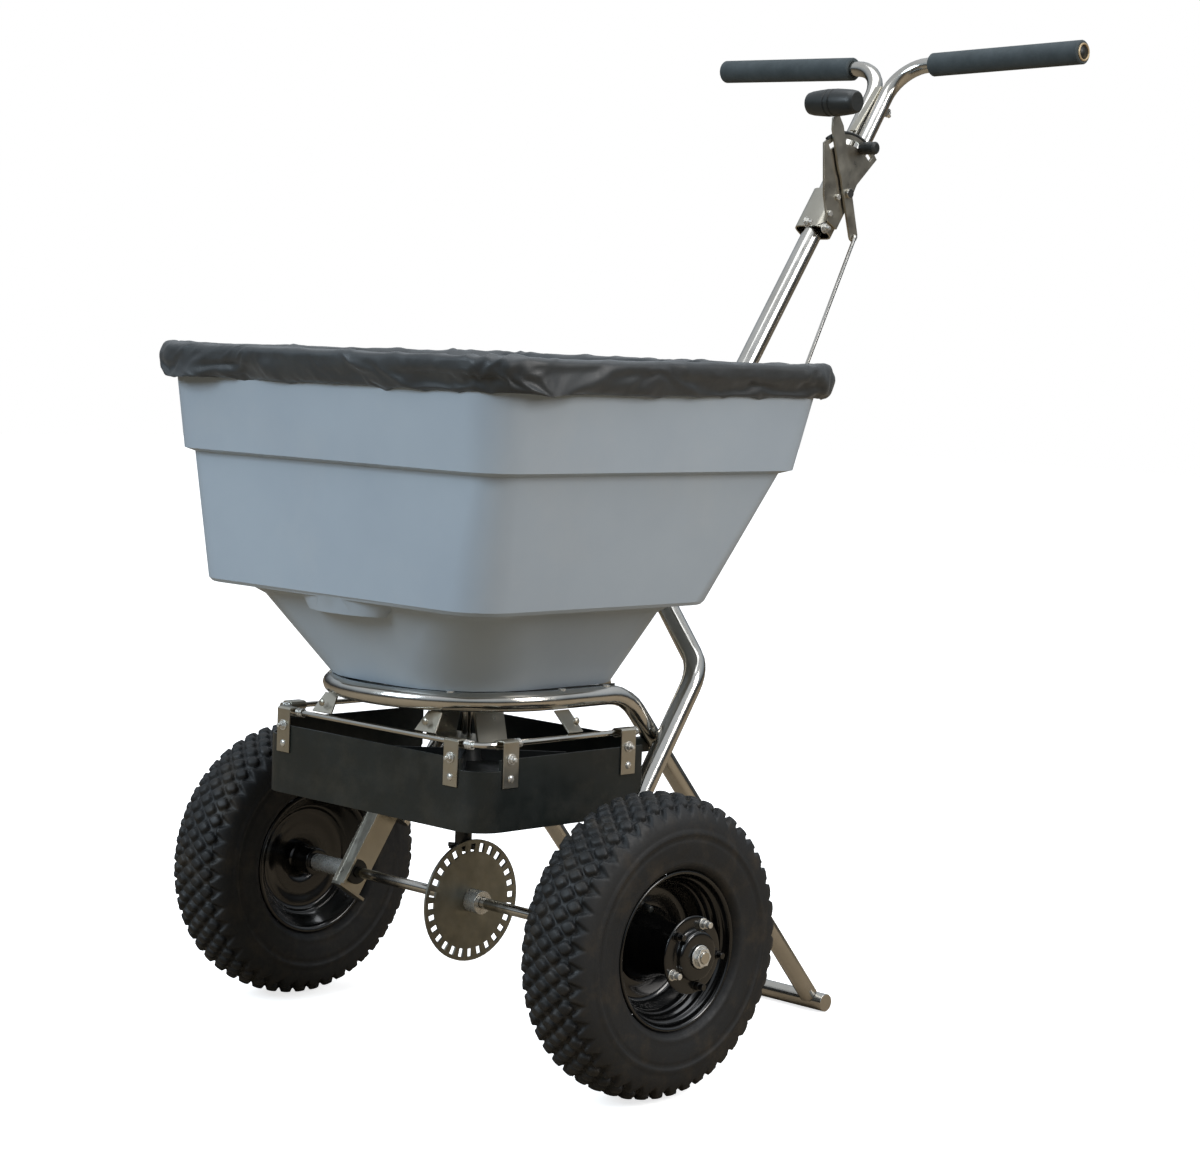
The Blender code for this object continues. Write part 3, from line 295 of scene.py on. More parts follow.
# ---------------------------------------------------------------- tyres
PITCHES = 46                # tread blocks around each tyre
PITCH_STEPS = 13            # mesh steps along one tread block
TREAD_DEPTH = 0.0058
COLUMN = 0.0145             # spacing of the tread's columns across the tyre
BLOCK_SLANT = 1.9           # how far each block's corners are drawn out round the tyre
LUG_START = 2.55            # columns from the crown to the shoulder's lugs
SHOULDER = 0.0555           # run from the crown to the end of the tread
BEAD = 0.777                # where the rim's edge meets the tyre, as a share of its half width


def tyre_section():
    """Half outline from the crown to the bead as (lateral, radius), and the run along it."""
    depth = WHEEL_R - RIM_R
    knots = [(0.0, 1.0), (0.46, 0.975), (0.79, 0.88), (0.955, 0.70), (1.0, 0.42),
             (0.94, 0.10), (BEAD, 0.005)]
    knots = np.array([(a * TYRE_HALF, RIM_R + depth * r) for a, r in knots])
    before = np.vstack([(-knots[1, 0], knots[1, 1]), knots, 2 * knots[-1] - knots[-2]])
    curve = []
    for i in range(1, len(before) - 2):
        p0, p1, p2, p3 = before[i - 1:i + 3]
        for t in np.linspace(0, 1, 24, endpoint=False):
            curve.append(0.5 * (2 * p1 + (p2 - p0) * t + (2 * p0 - 5 * p1 + 4 * p2 - p3) * t ** 2
                                + (3 * p1 - p0 - 3 * p2 + p3) * t ** 3))
    curve = np.array(curve + [knots[-1]])
    run = np.concatenate([[0], np.cumsum(np.linalg.norm(np.diff(curve, axis=0), axis=1))])
    return curve, run


def smoothstep(low, high, x):
    """Rises smoothly from 0 at low to 1 at high."""
    t = np.clip((x - low) / (high - low), 0, 1)
    return t * t * (3 - 2 * t)


def tread(s, u, pitch):
    """Block height from 0 to 1 at lateral run s and distance u around the crown."""
    height = np.zeros_like(u)
    for k in (-2, -1, 0, 1, 2):
        du = (u / pitch + 0.5 * (k % 2) + 0.5) % 1.0 - 0.5
        ds = (s - k * COLUMN) / COLUMN
        rhomb = (np.abs(ds + BLOCK_SLANT * du) ** 3 + np.abs(ds - BLOCK_SLANT * du) ** 3) ** (1 / 3)
        block = (1 - smoothstep(0.60, 0.94, rhomb)) * (1 - 0.25 * rhomb ** 2)
        height = np.maximum(height, block)
    du = np.abs((u / pitch + 1.0) % 1.0 - 0.5)
    across = np.abs(s) - LUG_START * COLUMN
    width = 0.20 + 0.30 * smoothstep(0.0, 1.15 * COLUMN, across)
    lug = (1 - smoothstep(width - 0.09, width + 0.05, du)) * smoothstep(-0.0035, 0.0005, across)
    return np.maximum(height, lug)


def build_tyre(side, mark, body):
    """The section swept round the wheel, pushed in between the blocks and ribbed on its sides."""
    curve, run = tyre_section()
    half = np.concatenate([np.linspace(0, SHOULDER, 42),
                           np.linspace(SHOULDER, run[-1], 22)[1:]])
    s = np.concatenate([-half[:0:-1], half])
    a = np.interp(np.abs(s), run, curve[:, 0]) * np.sign(s)
    r = np.interp(np.abs(s), run, curve[:, 1])
    tangent = np.gradient(np.stack([a, r], axis=1), axis=0)
    tangent /= np.linalg.norm(tangent, axis=1)[:, None]
    normal = np.stack([-tangent[:, 1], tangent[:, 0]], axis=1)
    count = PITCHES * PITCH_STEPS
    around = np.arange(count) * 2 * math.pi / count
    pitch = 2 * math.pi * WHEEL_R / PITCHES
    s_grid, u_grid = np.meshgrid(s, around * WHEEL_R)
    depth = TREAD_DEPTH * smoothstep(SHOULDER, 2.7 * COLUMN, np.abs(s_grid))
    push = -depth * (1 - tread(s_grid, u_grid, pitch))
    for place, width, height in ((SHOULDER + 0.0150, 0.0020, 0.0015),
                                 (SHOULDER + 0.0192, 0.0014, -0.0012),
                                 (run[-1] - 0.012, 0.0022, 0.0012)):
        push += np.exp(-((np.abs(s_grid) - place) / width) ** 2) * height
    lateral = a[None, :] + normal[None, :, 0] * push
    radius = r[None, :] + normal[None, :, 1] * push
    points = np.stack([radius * np.cos(around)[:, None], radius * np.sin(around)[:, None],
                       lateral], axis=2).reshape(-1, 3)
    columns = len(s)
    faces = [(k * columns + i, k * columns + i + 1, ((k + 1) % count) * columns + i + 1,
              ((k + 1) % count) * columns + i)
             for k in range(count) for i in range(columns - 1)]
    mesh = mesh_of(f"tyre {mark}", points, faces, along_x(side, WHEEL_X))
    shown(f"tyre_{mark}.tread", mesh, "tyre", body, "tyre", f"tyre_{mark}")


# ---------------------------------------------------------------- rims and hubs
DISC = -0.0120              # wheel disc, measured outward from the wheel's middle
DISC_BORE = 0.0185
HUB_R = 0.0265
HUB_BORE = 0.0066
HUB_BACK = -0.0408
FLANGE_R = 0.0420           # hub's bolt flange
BOLT_CIRCLE = 0.0348
HUB_BOLTS = 5
FIRST_BOLT = 66             # degrees round the hub
LIT_BOLTS = (0, 2)       # the others take the hub's black finish as painted shade, since they sit in shade
VALVE_CIRCLE = 0.0585
VALVE_ANGLE = math.radians(118)


def bend(points, count=5):
    """The outline with each inner corner rounded into a curve between its neighbours."""
    out = [points[0]]
    for before, corner, after in zip(points, points[1:], points[2:]):
        a, c, b = Vector(before), Vector(corner), Vector(after)
        start, end = c.lerp(a, 0.45), c.lerp(b, 0.45)
        for i in range(count + 1):
            t = i / count
            out.append(tuple(start.lerp(c, t).lerp(c.lerp(end, t), t)))
    return out + [points[-1]]


def build_rim(side, mark, body):
    """Rolled edge, well and pressed disc, turned as one section."""
    edge = TYRE_HALF * BEAD
    outer = [(RIM_R - 0.0010, edge), (RIM_R + 0.0012, edge + 0.0022),
             (RIM_R - 0.0008, edge + 0.0046), (RIM_R - 0.0042, edge + 0.0030),
             (RIM_R - 0.0062, edge - 0.0040), (RIM_R - 0.0105, edge - 0.0075),
             (RIM_R - 0.0118, edge - 0.0165), (RIM_R - 0.0180, edge - 0.0210),
             (RIM_R - 0.0195, 0.0020), (RIM_R - 0.0230, DISC + 0.0030),
             (RIM_R - 0.0330, DISC + 0.0022), (0.0440, DISC + 0.0045), (0.0250, DISC + 0.0045),
             (DISC_BORE, DISC + 0.0040)]
    inner = [(DISC_BORE, DISC), (0.0430, DISC), (RIM_R - 0.0330, DISC - 0.0024),
             (RIM_R - 0.0250, DISC - 0.0030), (RIM_R - 0.0215, DISC - 0.0080),
             (RIM_R - 0.0195, -0.0200), (RIM_R - 0.0130, -edge + 0.0080),
             (RIM_R - 0.0080, -edge + 0.0020), (RIM_R - 0.0050, -edge - 0.0030),
             (RIM_R - 0.0005, -edge - 0.0040), (RIM_R + 0.0012, -edge - 0.0015),
             (RIM_R - 0.0010, -edge)]
    back = [(RIM_R - 0.0078, -edge + 0.0080), (RIM_R - 0.0165, -0.0185),
            (RIM_R - 0.0165, 0.0185), (RIM_R - 0.0078, edge - 0.0080)]
    mesh = lathe(f"rim {mark}", bend(outer) + bend(inner) + bend(back),
                 along_x(side, WHEEL_X), 128)
    shown(f"rim_{mark}.painted", mesh, "rim", body, "rim", f"rim_{mark}")


def build_hub(side, mark, body):
    """Hub with its bolt flange, widening where it meets the disc."""
    outer = [(HUB_BORE, HUB_FACE), (HUB_R - 0.0040, HUB_FACE), (HUB_R, HUB_FACE - 0.0012),
             (HUB_R + 0.0004, HUB_FACE - 0.0060), (HUB_R, HUB_FACE - 0.0090),
             (FLANGE_R - 0.0010, HUB_FACE - 0.0098), (FLANGE_R, HUB_FACE - 0.0110),
             (FLANGE_R, HUB_FACE - 0.0136), (HUB_R - 0.0010, HUB_FACE - 0.0146),
             (HUB_R + 0.0020, 0.0200), (HUB_R + 0.0110, DISC + 0.0120),
             (HUB_R + 0.0150, DISC + 0.0052)]
    inner = [(0.0180, DISC - 0.0004), (0.0170, HUB_BACK + 0.0013), (0.0155, HUB_BACK),
             (HUB_BORE, HUB_BACK)]
    mesh = lathe(f"hub {mark}", bend(outer, 4) + bend(inner, 3), along_x(side, WHEEL_X), 96)
    shown(f"wheel_hub_{mark}.painted", mesh, "rim", body, "rim", f"wheel_hub_{mark}")


def hex_bolt(name, matrix, radius, height, look, body, slot, washer=0.0, shank=0.0):
    """Hex head on the matrix's XY plane, over a washer and under the shank's end if given."""
    form = bmesh.new()

    def cylinder(r, low, high, count, turn=0.0):
        place = Matrix.Translation((0, 0, (low + high) / 2)) @ Matrix.Rotation(turn, 4, "Z")
        bmesh.ops.create_cone(form, cap_ends=True, segments=count, radius1=r, radius2=r,
                              depth=high - low, matrix=place)

    base = 0.0
    if washer:
        base = 0.0012
        cylinder(washer, 0, base, 28)
    cylinder(radius, base, base + height, 6, 0.3)
    if shank:
        cylinder(shank, base + height, base + height + shank * 1.7, 20)
    mesh = bpy.data.meshes.new(name)
    form.to_mesh(mesh)
    form.free()
    mesh.transform(matrix)
    mesh.shade_smooth()
    return soften(shown(name, mesh, look, body, slot), 0.0004, 2, 35)


def build_wheel_fittings(side, mark, body):
    """The axle nut's washer, the hub's bolts and the valve stem."""
    place = along_x(side, WHEEL_X)
    seat = Matrix.Translation((0, 0, HUB_FACE + 0.0004))
    profile = [(0.0110, 0.0), (0.0125, 0.0004), (0.0125, 0.0016), (0.0118, 0.0020),
               (0.0072, 0.0020), (0.0072, 0.0)]
    washer = lathe(f"washer {mark}", profile, place @ seat, 48)
    shown(f"axle_washer_{mark}", washer, "bright", "axle_set", "steel")
    for k in range(HUB_BOLTS):
        angle = math.radians(FIRST_BOLT + 360 / HUB_BOLTS * k)
        spot = Matrix.Translation((BOLT_CIRCLE * math.cos(angle), BOLT_CIRCLE * math.sin(angle),
                                   HUB_FACE - 0.0100))
        # bolts other than the lit ones get the black hub finish: painted shade
        hex_bolt(f"hub_bolt_{mark}_{k}", place @ spot, 0.0050, 0.0046,
                 "bright" if k in LIT_BOLTS else "rim", body, "steel", 0.0062, 0.0034)
    out = Vector((math.cos(VALVE_ANGLE), math.sin(VALVE_ANGLE), 0))
    foot = out * VALVE_CIRCLE + Vector((0, 0, DISC + 0.004))
    lean = (Vector((0, 0, 1)) - out * 0.28).normalized()
    turn = Matrix.Translation(foot) @ lean.to_track_quat("Z", "Y").to_matrix().to_4x4()
    stem = [(0.0, 0.031), (0.0034, 0.0308), (0.0040, 0.0295), (0.0040, 0.0210),
            (0.0030, 0.0205), (0.0030, 0.0195), (0.0046, 0.0185), (0.0052, 0.0060),
            (0.0078, 0.0020), (0.0078, 0.0), (0.0, 0.0)]
    mesh = lathe(f"valve {mark}", stem, place @ turn, 24, closed=False)
    shown(f"valve_stem_{mark}", mesh, "black", body, "black")


def build_wheels():
    for side, mark, body in ((1, "left", "axle_set"), (-1, "right", "free_wheel")):
        build_tyre(side, mark, body)
        build_rim(side, mark, body)
        build_hub(side, mark, body)
        build_wheel_fittings(side, mark, body)


# ---------------------------------------------------------------- rain cover
COVER_RINGS = 52            # square rings of the sheet, from its middle to the hem
COVER_OVERHANG = 0.068      # cloth beyond the hopper's outline, before it is put on
COVER_SLACK = 1.022         # flat sheet over the opening that it spans
COVER_FRAMES = 32
ROLL_R = 0.0180             # section of the cloth rolled round the lip
ROLL_START = 0.0055         # where the roll begins, outward from the hopper's outline
FLAT_EDGE = -0.03           # inside this the sheet's rings shrink towards its middle
FOLD_RUN = 0.082            # spacing of the slanted folds along the lip
RIPPLE_SEED = 7             # without it the ripples would follow the clock
COVER_TOP = HOPPER_HIGH.z + 0.0022


def rounded_outline(out, count):
    """Points at even angles of travel round the hopper's top, moved outward by out."""
    half, front, back = HOPPER_TOP
    front_x, front_y, front_r = half - FRONT_CORNER, front + FRONT_CORNER, FRONT_CORNER + out
    back_x, back_y, back_r = half - BACK_CORNER, back - BACK_CORNER, BACK_CORNER + out
    corners = [(front_x, front_y, front_r, -90), (back_x, back_y, back_r, 0),
               (-back_x, back_y, back_r, 90), (-front_x, front_y, front_r, 180)]
    path = []
    for x, y, radius, start in corners:
        for k in range(13):
            angle = math.radians(start + 90 * k / 12)
            path.append((x + radius * math.cos(angle), y + radius * math.sin(angle)))
    path = np.array(path + path[:1])
    run = np.concatenate([[0], np.cumsum(np.linalg.norm(np.diff(path, axis=0), axis=1))])
    even = np.arange(count) / count * run[-1]
    return np.stack([np.interp(even, run, path[:, 0]), np.interp(even, run, path[:, 1])], axis=1)


def fold(run, out):
    """Height of the cloth's folds at a distance along the lip and outward over it."""
    drift = noise.noise(Vector((run * 5, 0.3, 0)))
    slant = run / FOLD_RUN + drift * 1.1 - out * 9
    crest = (1 - abs(math.sin(math.pi * slant))) ** 2.2
    size = 0.55 + 0.9 * noise.noise(Vector((run * 9, 4.1, 0)))
    gathers = 0.5 + 0.5 * math.sin(2 * math.pi * (run / 0.0135 + drift + out * 5))
    bunched = max(0.0, noise.noise(Vector((run * 4.3, 9.7, 0)))) * 1.8
    spread = min(max((out + 0.020) / 0.030, 0.0), 1.0)
    return spread * (0.0052 * crest * max(size, 0.1) + 0.0022 * gathers * bunched)


def roll(out, lift):
    """Where cloth that lies out beyond the outline goes when wrapped round the lip."""
    if out <= ROLL_START:
        return out, COVER_TOP + lift
    angle = (out - ROLL_START) / ROLL_R
    radius = ROLL_R + lift
    return (ROLL_START + radius * math.sin(angle),
            COVER_TOP - ROLL_R + radius * math.cos(angle))


def cover_sheet():
    """Faces of the square-ringed sheet with its wrapped and its flat points."""
    count = 2 * COVER_RINGS + 1
    middle = np.array([0, (HOPPER_TOP[1] + HOPPER_TOP[2]) / 2])
    reach = min(HOPPER_TOP[0], (HOPPER_TOP[2] - HOPPER_TOP[1]) / 2)
    around = 4 * (HOPPER_TOP[0] + reach)
    edge_share = (reach + FLAT_EDGE) / (reach + COVER_OVERHANG)
    flat, wrapped = {}, {}
    for ring in range(COVER_RINGS + 1):
        steps = range(-ring, ring)
        cells = [(ring, k) for k in steps] + [(-k, ring) for k in steps]
        cells += [(-ring, -k) for k in steps] + [(k, -ring) for k in steps]
        if ring == 0:
            cells = [(0, 0)]
        share = ring / COVER_RINGS
        out = (reach + COVER_OVERHANG) * share - reach
        scale = 1.0 if out > FLAT_EDGE else share / edge_share
        level = max(out, FLAT_EDGE)
        turn = round(len(cells) / 8)
        lay, near, far = (rounded_outline(level + more, len(cells)) for more in (0, -0.01, 0.01))
        for k, cell in enumerate(cells):
            j = (k + turn) % len(cells)
            lift = fold(j / len(cells) * around, out)
            moved, z = roll(level, lift)
            put = lay[j] + (far[j] - near[j]) / 0.02 * (moved - level)
            wrapped[cell] = (*(middle + (put - middle) * scale), z)
            flat[cell] = (*(middle + (lay[j] - middle) * scale * COVER_SLACK), COVER_TOP)
    order = [(i, j) for i in range(-COVER_RINGS, COVER_RINGS + 1)
             for j in range(-COVER_RINGS, COVER_RINGS + 1)]
    faces = [(a * count + b, (a + 1) * count + b, (a + 1) * count + b + 1, a * count + b + 1)
             for a in range(count - 1) for b in range(count - 1)]
    hem = [n for n, (i, j) in enumerate(order) if max(abs(i), abs(j)) == COVER_RINGS]
    return ([wrapped[c] for c in order], [flat[c] for c in order], faces, hem)


def ruffled(points):
    """Small uneven ripples, so that the gathers start in different places."""
    noise.seed_set(RIPPLE_SEED)
    out = []
    for x, y, z in points:
        place = Vector((x * 16, y * 16, z * 16))
        push = noise.noise_vector(place) * 0.0016 + noise.noise_vector(place * 3.1) * 0.0008
        out.append((x + push.x, y + push.y, z + push.z * 0.6))
    return out


def simulate_cover(points, flat, faces, hem):
    """Lets the gathered sheet settle over the hopper's lip and returns its mesh."""
    mesh = bpy.data.meshes.new("cover sheet")
    mesh.from_pydata(points, [], faces)
    sheet = bpy.data.objects.new("cover sheet", mesh)
    bpy.context.scene.collection.objects.link(sheet)
    sheet.shape_key_add(name="Basis")
    cut = sheet.shape_key_add(name="flat")
    for place, point in zip(cut.data, flat):
        place.co = point
    cut.value = 0.0
    pinned = sheet.vertex_groups.new(name="hem")
    pinned.add(hem, 1.0, "REPLACE")
    stay = bpy.data.objects.new("cover support", frame["nodes"]["hopper"].data.copy())
    bpy.context.scene.collection.objects.link(stay)
    stay.modifiers.new("collision", "COLLISION")
    stay.collision.thickness_outer = 0.0012
    stay.collision.cloth_friction = 12
    cloth = sheet.modifiers.new("cloth", "CLOTH")
    cloth.settings.quality = 8
    cloth.settings.mass = 0.12
    cloth.settings.tension_stiffness = 30
    cloth.settings.compression_stiffness = 30
    cloth.settings.shear_stiffness = 8
    cloth.settings.bending_stiffness = 0.25
    cloth.settings.air_damping = 2.5
    cloth.settings.vertex_group_mass = "hem"
    cloth.settings.rest_shape_key = cut
    cloth.collision_settings.collision_quality = 4
    cloth.collision_settings.distance_min = 0.0012
    cloth.collision_settings.use_self_collision = True
    cloth.collision_settings.self_distance_min = 0.0012
    scene = bpy.context.scene
    cloth.point_cache.frame_end = COVER_FRAMES
    for step in range(1, COVER_FRAMES + 1):
        scene.frame_set(step)
    graph = bpy.context.evaluated_depsgraph_get()
    settled = bpy.data.meshes.new_from_object(sheet.evaluated_get(graph))
    scene.frame_set(1)
    for helper in (sheet, stay):
        bpy.data.objects.remove(helper, do_unlink=True)
    return settled


def build_cover():
    points, flat, faces, hem = cover_sheet()
    points = ruffled(points)
    mesh = simulate_cover(points, flat, faces, hem)
    mesh.shade_smooth()
    cover = shown("rain_cover.cloth", mesh, "cover", "cover", "cover", "rain_cover")
    smooth = cover.modifiers.new("smooth", "SUBSURF")
    smooth.levels = smooth.render_levels = 1


# ---------------------------------------------------------------- small fittings
COIL_STEPS = 14             # points along one turn of a clip's coil
COIL_TURNS = 6
COIL_PITCH = 0.0017
COIL_R = 0.0044
WIRE_R = 0.0033             # deflector wire that the coils go round
QUADRANT_R = 0.0756         # trim along the rate quadrant's upper edge
TRIM_ARC = (120, 76, 24)    # its first angle, its sweep and its steps
QUADRANT_BOLTS = ((-0.015, -0.0055), (-0.029, -0.0265))     # back and up from the pivot
SLEEVE_BOLTS = ((0.5234, 0.9622), (0.5575, 0.9565))         # back and up, as at() takes them
SLEEVE_SEAM = (0.5552, 0.9626)
STAY_TOP, STAY_FOOT = (0, 0.681, 1.1432), (0, 0.6332, 1.0835)
TIE_BOLT = (0.0118, 0.6833, 1.1106)
CORNER_BOLT = math.radians(49)      # hopper bolt's place round the loop's front corner
SIDE_BOLTS = (0.004, 0.072)         # hopper bolts along the loop's sides, back from the axle
# black collar under the hopper: painted shade between the hopper and the loop tube
SHADE_COLLAR_HEIGHT, SHADE_COLLAR_WALL, SHADE_COLLAR_GAP = 0.0101, 0.0020, 0.0022
SHADE_COLLAR_BACK = 0.100


def at(x, y, z):
    """A place given sideways from the middle, back from the axle and up from the ground."""
    return Vector((x, y + AXLE_Y, z))


def facing(place, outward, up=(0, 0, 1)):
    """Frame at the place with Z outward and Y near up."""
    z_axis = Vector(outward).normalized()
    x_axis = Vector(up).cross(z_axis).normalized()
    turn = Matrix((x_axis, z_axis.cross(x_axis), z_axis)).transposed().to_4x4()
    return Matrix.Translation(place) @ turn


def pipe(name, points, radius, bevel=3):
    """Round wire through the points, as a mesh."""
    curve = bpy.data.curves.new(name, "CURVE")
    curve.dimensions = "3D"
    line = curve.splines.new("POLY")
    line.points.add(len(points) - 1)
    for spot, place in zip(line.points, points):
        spot.co = (*place, 1)
    curve.bevel_depth = radius
    curve.bevel_resolution = bevel
    curve.use_fill_caps = True
    helper = bpy.data.objects.new(name, curve)
    mesh = bpy.data.meshes.new_from_object(helper)
    bpy.data.objects.remove(helper, do_unlink=True)
    mesh.shade_smooth()
    return mesh


def block(name, size, matrix, look, body, slot, width=0.0006):
    """Small plate or bar with soft edges, centred on the matrix."""
    form = bmesh.new()
    bmesh.ops.create_cube(form, size=1)
    bmesh.ops.scale(form, vec=size, verts=form.verts)
    mesh = bpy.data.meshes.new(name)
    form.to_mesh(mesh)
    form.free()
    mesh.transform(matrix)
    mesh.shade_smooth()
    return soften(shown(name, mesh, look, body, slot), width, 3)


def dome(name, matrix, radius, height, look, body, slot):
    """Domed rivet head on the matrix's XY plane."""
    profile = [(0.0, height), (radius * 0.45, height * 0.92), (radius * 0.80, height * 0.62),
               (radius, height * 0.12), (radius, 0.0), (0.0, 0.0)]
    shown(name, lathe(name, profile, matrix, 24, closed=False), look, body, slot)


CLIP_SIDES = {"front_left": (0, -1, 0), "front_right": (0, -1, 0), "left_front": (1, 0, 0),
              "left_back": (1, 0, 0), "right_front": (-1, 0, 0), "right_back": (-1, 0, 0)}


def build_clip_fittings():
    """Each skirt clip has a rivet, a bolt and a short coil of thin wire beside it."""
    wire_low, wire_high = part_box("deflector_wire")
    wire_z = (wire_low.z + wire_high.z) / 2
    for mark, out in CLIP_SIDES.items():
        low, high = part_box(f"skirt_clip_{mark}")
        outward = Vector(out)
        middle = (low + high) / 2
        along = Vector((-out[1], out[0], 0))
        face = middle + outward * (abs((high - low).dot(outward)) / 2)
        face.z = low.z + 0.010
        dome(f"clip_rivet_{mark}", facing(face, outward), 0.0042, 0.0020, "bright", "frame",
             "plate")
        face.z = low.z + 0.031
        hex_bolt(f"clip_bolt_{mark}", facing(face, outward), 0.0042, 0.0030, "bright", "frame",
                 "plate", 0.0062, 0.0022)
        wire = wire_low if sum(out) < 0 else wire_high
        reach = abs(outward.dot(wire)) - WIRE_R
        centre = along * middle.dot(along) + outward * reach
        centre.z = wire_z
        start = 0.5 * abs((high - low).dot(along)) + 0.0012
        coil = []
        for k in range(COIL_TURNS * COIL_STEPS + 1):
            turn = 2 * math.pi * k / COIL_STEPS
            round_wire = outward * math.cos(turn) + Vector((0, 0, 1)) * math.sin(turn)
            coil.append(centre + along * (start + COIL_PITCH * k / COIL_STEPS)
                        + round_wire * COIL_R)
        shown(f"clip_coil_{mark}", pipe(f"coil {mark}", coil, 0.0007, 2), "bright", "frame",
              "plate")


def build_hanger_fittings():
    """Rivets through the wire's hangers, and the bolts between the loop and the hopper."""
    for mark in ("front_left", "front_right", "left", "right"):
        low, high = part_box(f"wire_hanger_{mark}")
        middle = (low + high) / 2
        outward = Vector((0, -1, 0) if "front" in mark else (math.copysign(1, middle.x), 0, 0))
        face = middle + outward * (abs((high - low).dot(outward)) / 2 - 0.0004)
        face.z = high.z - 0.010
        dome(f"hanger_rivet_{mark}", facing(face, outward), 0.0046, 0.0022, "plate", "frame",
             "plate")
    loop_low, loop_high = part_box("loop_tube")
    top = loop_high.z - 0.0022
    reach, front = loop_high.x - LOOP_R, loop_low.y - AXLE_Y + LOOP_R
    corner = (reach - LOOP_CORNER * (1 - math.cos(CORNER_BOLT)),
              front + LOOP_CORNER * (1 - math.sin(CORNER_BOLT)))
    for side, mark in ((1, "left"), (-1, "right")):
        spots = [(side * reach, y) for y in SIDE_BOLTS] + [(side * corner[0], corner[1])]
        for k, (x, y) in enumerate(spots):
            hex_bolt(f"hopper_bolt_{mark}_{k}", Matrix.Translation(at(x, y, top)), 0.0046,
                     0.0030, "bright", "frame", "plate")


def build_shade_collar():
    """Dark collar inside the loop, under the hopper, open at the back for the gate: painted shade
    where the hopper meets the loop.
    """
    loop_low, loop_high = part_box("loop_tube")
    reach = loop_high.x - LOOP_R
    corner = LOOP_CORNER - LOOP_R - SHADE_COLLAR_GAP
    centre = (reach - LOOP_CORNER, loop_low.y - AXLE_Y + LOOP_R + LOOP_CORNER)
    outline = [(centre[0] + corner, SHADE_COLLAR_BACK)]
    outline += [(centre[0] + corner * math.cos(a), centre[1] - corner * math.sin(a))
                for a in (math.radians(90 * k / 20) for k in range(21))]
    outline += [(-x, y) for x, y in reversed(outline)]
    high = loop_high.z - 0.0004
    points, faces = [], []
    for x, y in outline:
        inward = Vector((-x, centre[1] - y, 0)).normalized() * SHADE_COLLAR_WALL
        for z in (high - SHADE_COLLAR_HEIGHT, high):
            points += [at(x, y, z), at(x, y, z) + inward]
    for k in range(len(outline) - 1):
        a, b = 4 * k, 4 * k + 4
        faces += [(a, b, b + 2, a + 2), (a + 1, a + 3, b + 3, b + 1), (a, a + 1, b + 1, b),
                  (a + 2, b + 2, b + 3, a + 3)]
    last = 4 * (len(outline) - 1)
    faces += [(0, 2, 3, 1), (last, last + 1, last + 3, last + 2)]
    mesh = mesh_of("seat", points, faces)
    mesh.set_sharp_from_angle(angle=math.radians(30))
    # dark collar: painted shade under the hopper
    shown("hopper_shade_collar", mesh, "black", "frame", "black")


def build_knob():
    """Barrel-shaped lever knob with two grooves round its middle."""
    low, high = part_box("lever_knob")
    half, full = (high.x - low.x) / 2, (high.z - low.z) / 2
    side = [(0.0, half), (0.0118, half), (0.0138, half - 0.0018), (0.0152, half - 0.0080),
            (0.0163, half * 0.50), (full, 0.0075), (full, 0.0058), (full - 0.0012, 0.0050),
            (full - 0.0012, 0.0032), (full, 0.0024)]
    profile = side + [(r, -h) for r, h in reversed(side)]
    turn = Matrix(((0, 0, 1), (1, 0, 0), (0, 1, 0))).to_4x4()
    mesh = lathe("knob", profile, Matrix.Translation((low + high) / 2) @ turn, 64, closed=False)
    mesh.set_sharp_from_angle(angle=math.radians(38))
    shown("lever_knob.turned", mesh, "black", "lever", "black", "lever_knob")


def build_grip_ends():
    """The handle tube's open end, seen inside each grip, with a black disc in its mouth as painted
    shade of the dark hollow.
    """
    for side, mark in ((1, "left"), (-1, "right")):
        low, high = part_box(f"grip_{mark}")
        x = high.x if side > 0 else low.x
        place = facing((x - side * 0.0002, high.y - GRIP_R, high.z - GRIP_R), (side, 0, 0))
        ring = [(0.0112, 0.0), (0.0112, 0.0012), (0.0104, 0.0018), (0.0090, 0.0016),
                (0.0086, 0.0004), (0.0086, 0.0)]
        shown(f"grip_tube_end_{mark}", lathe(f"end {mark}", ring, place, 40), "worn", "frame",
              "steel")
        # black disc just inside the end: painted shade for the tube's dark hollow
        hollow_shade = [(0.0, 0.0005), (0.0084, 0.0005), (0.0084, 0.0), (0.0, 0.0)]
        shown(f"grip_tube_hollow_shade_{mark}", lathe(f"inside {mark}", hollow_shade, place, 32, closed=False),
              "black", "frame", "black")


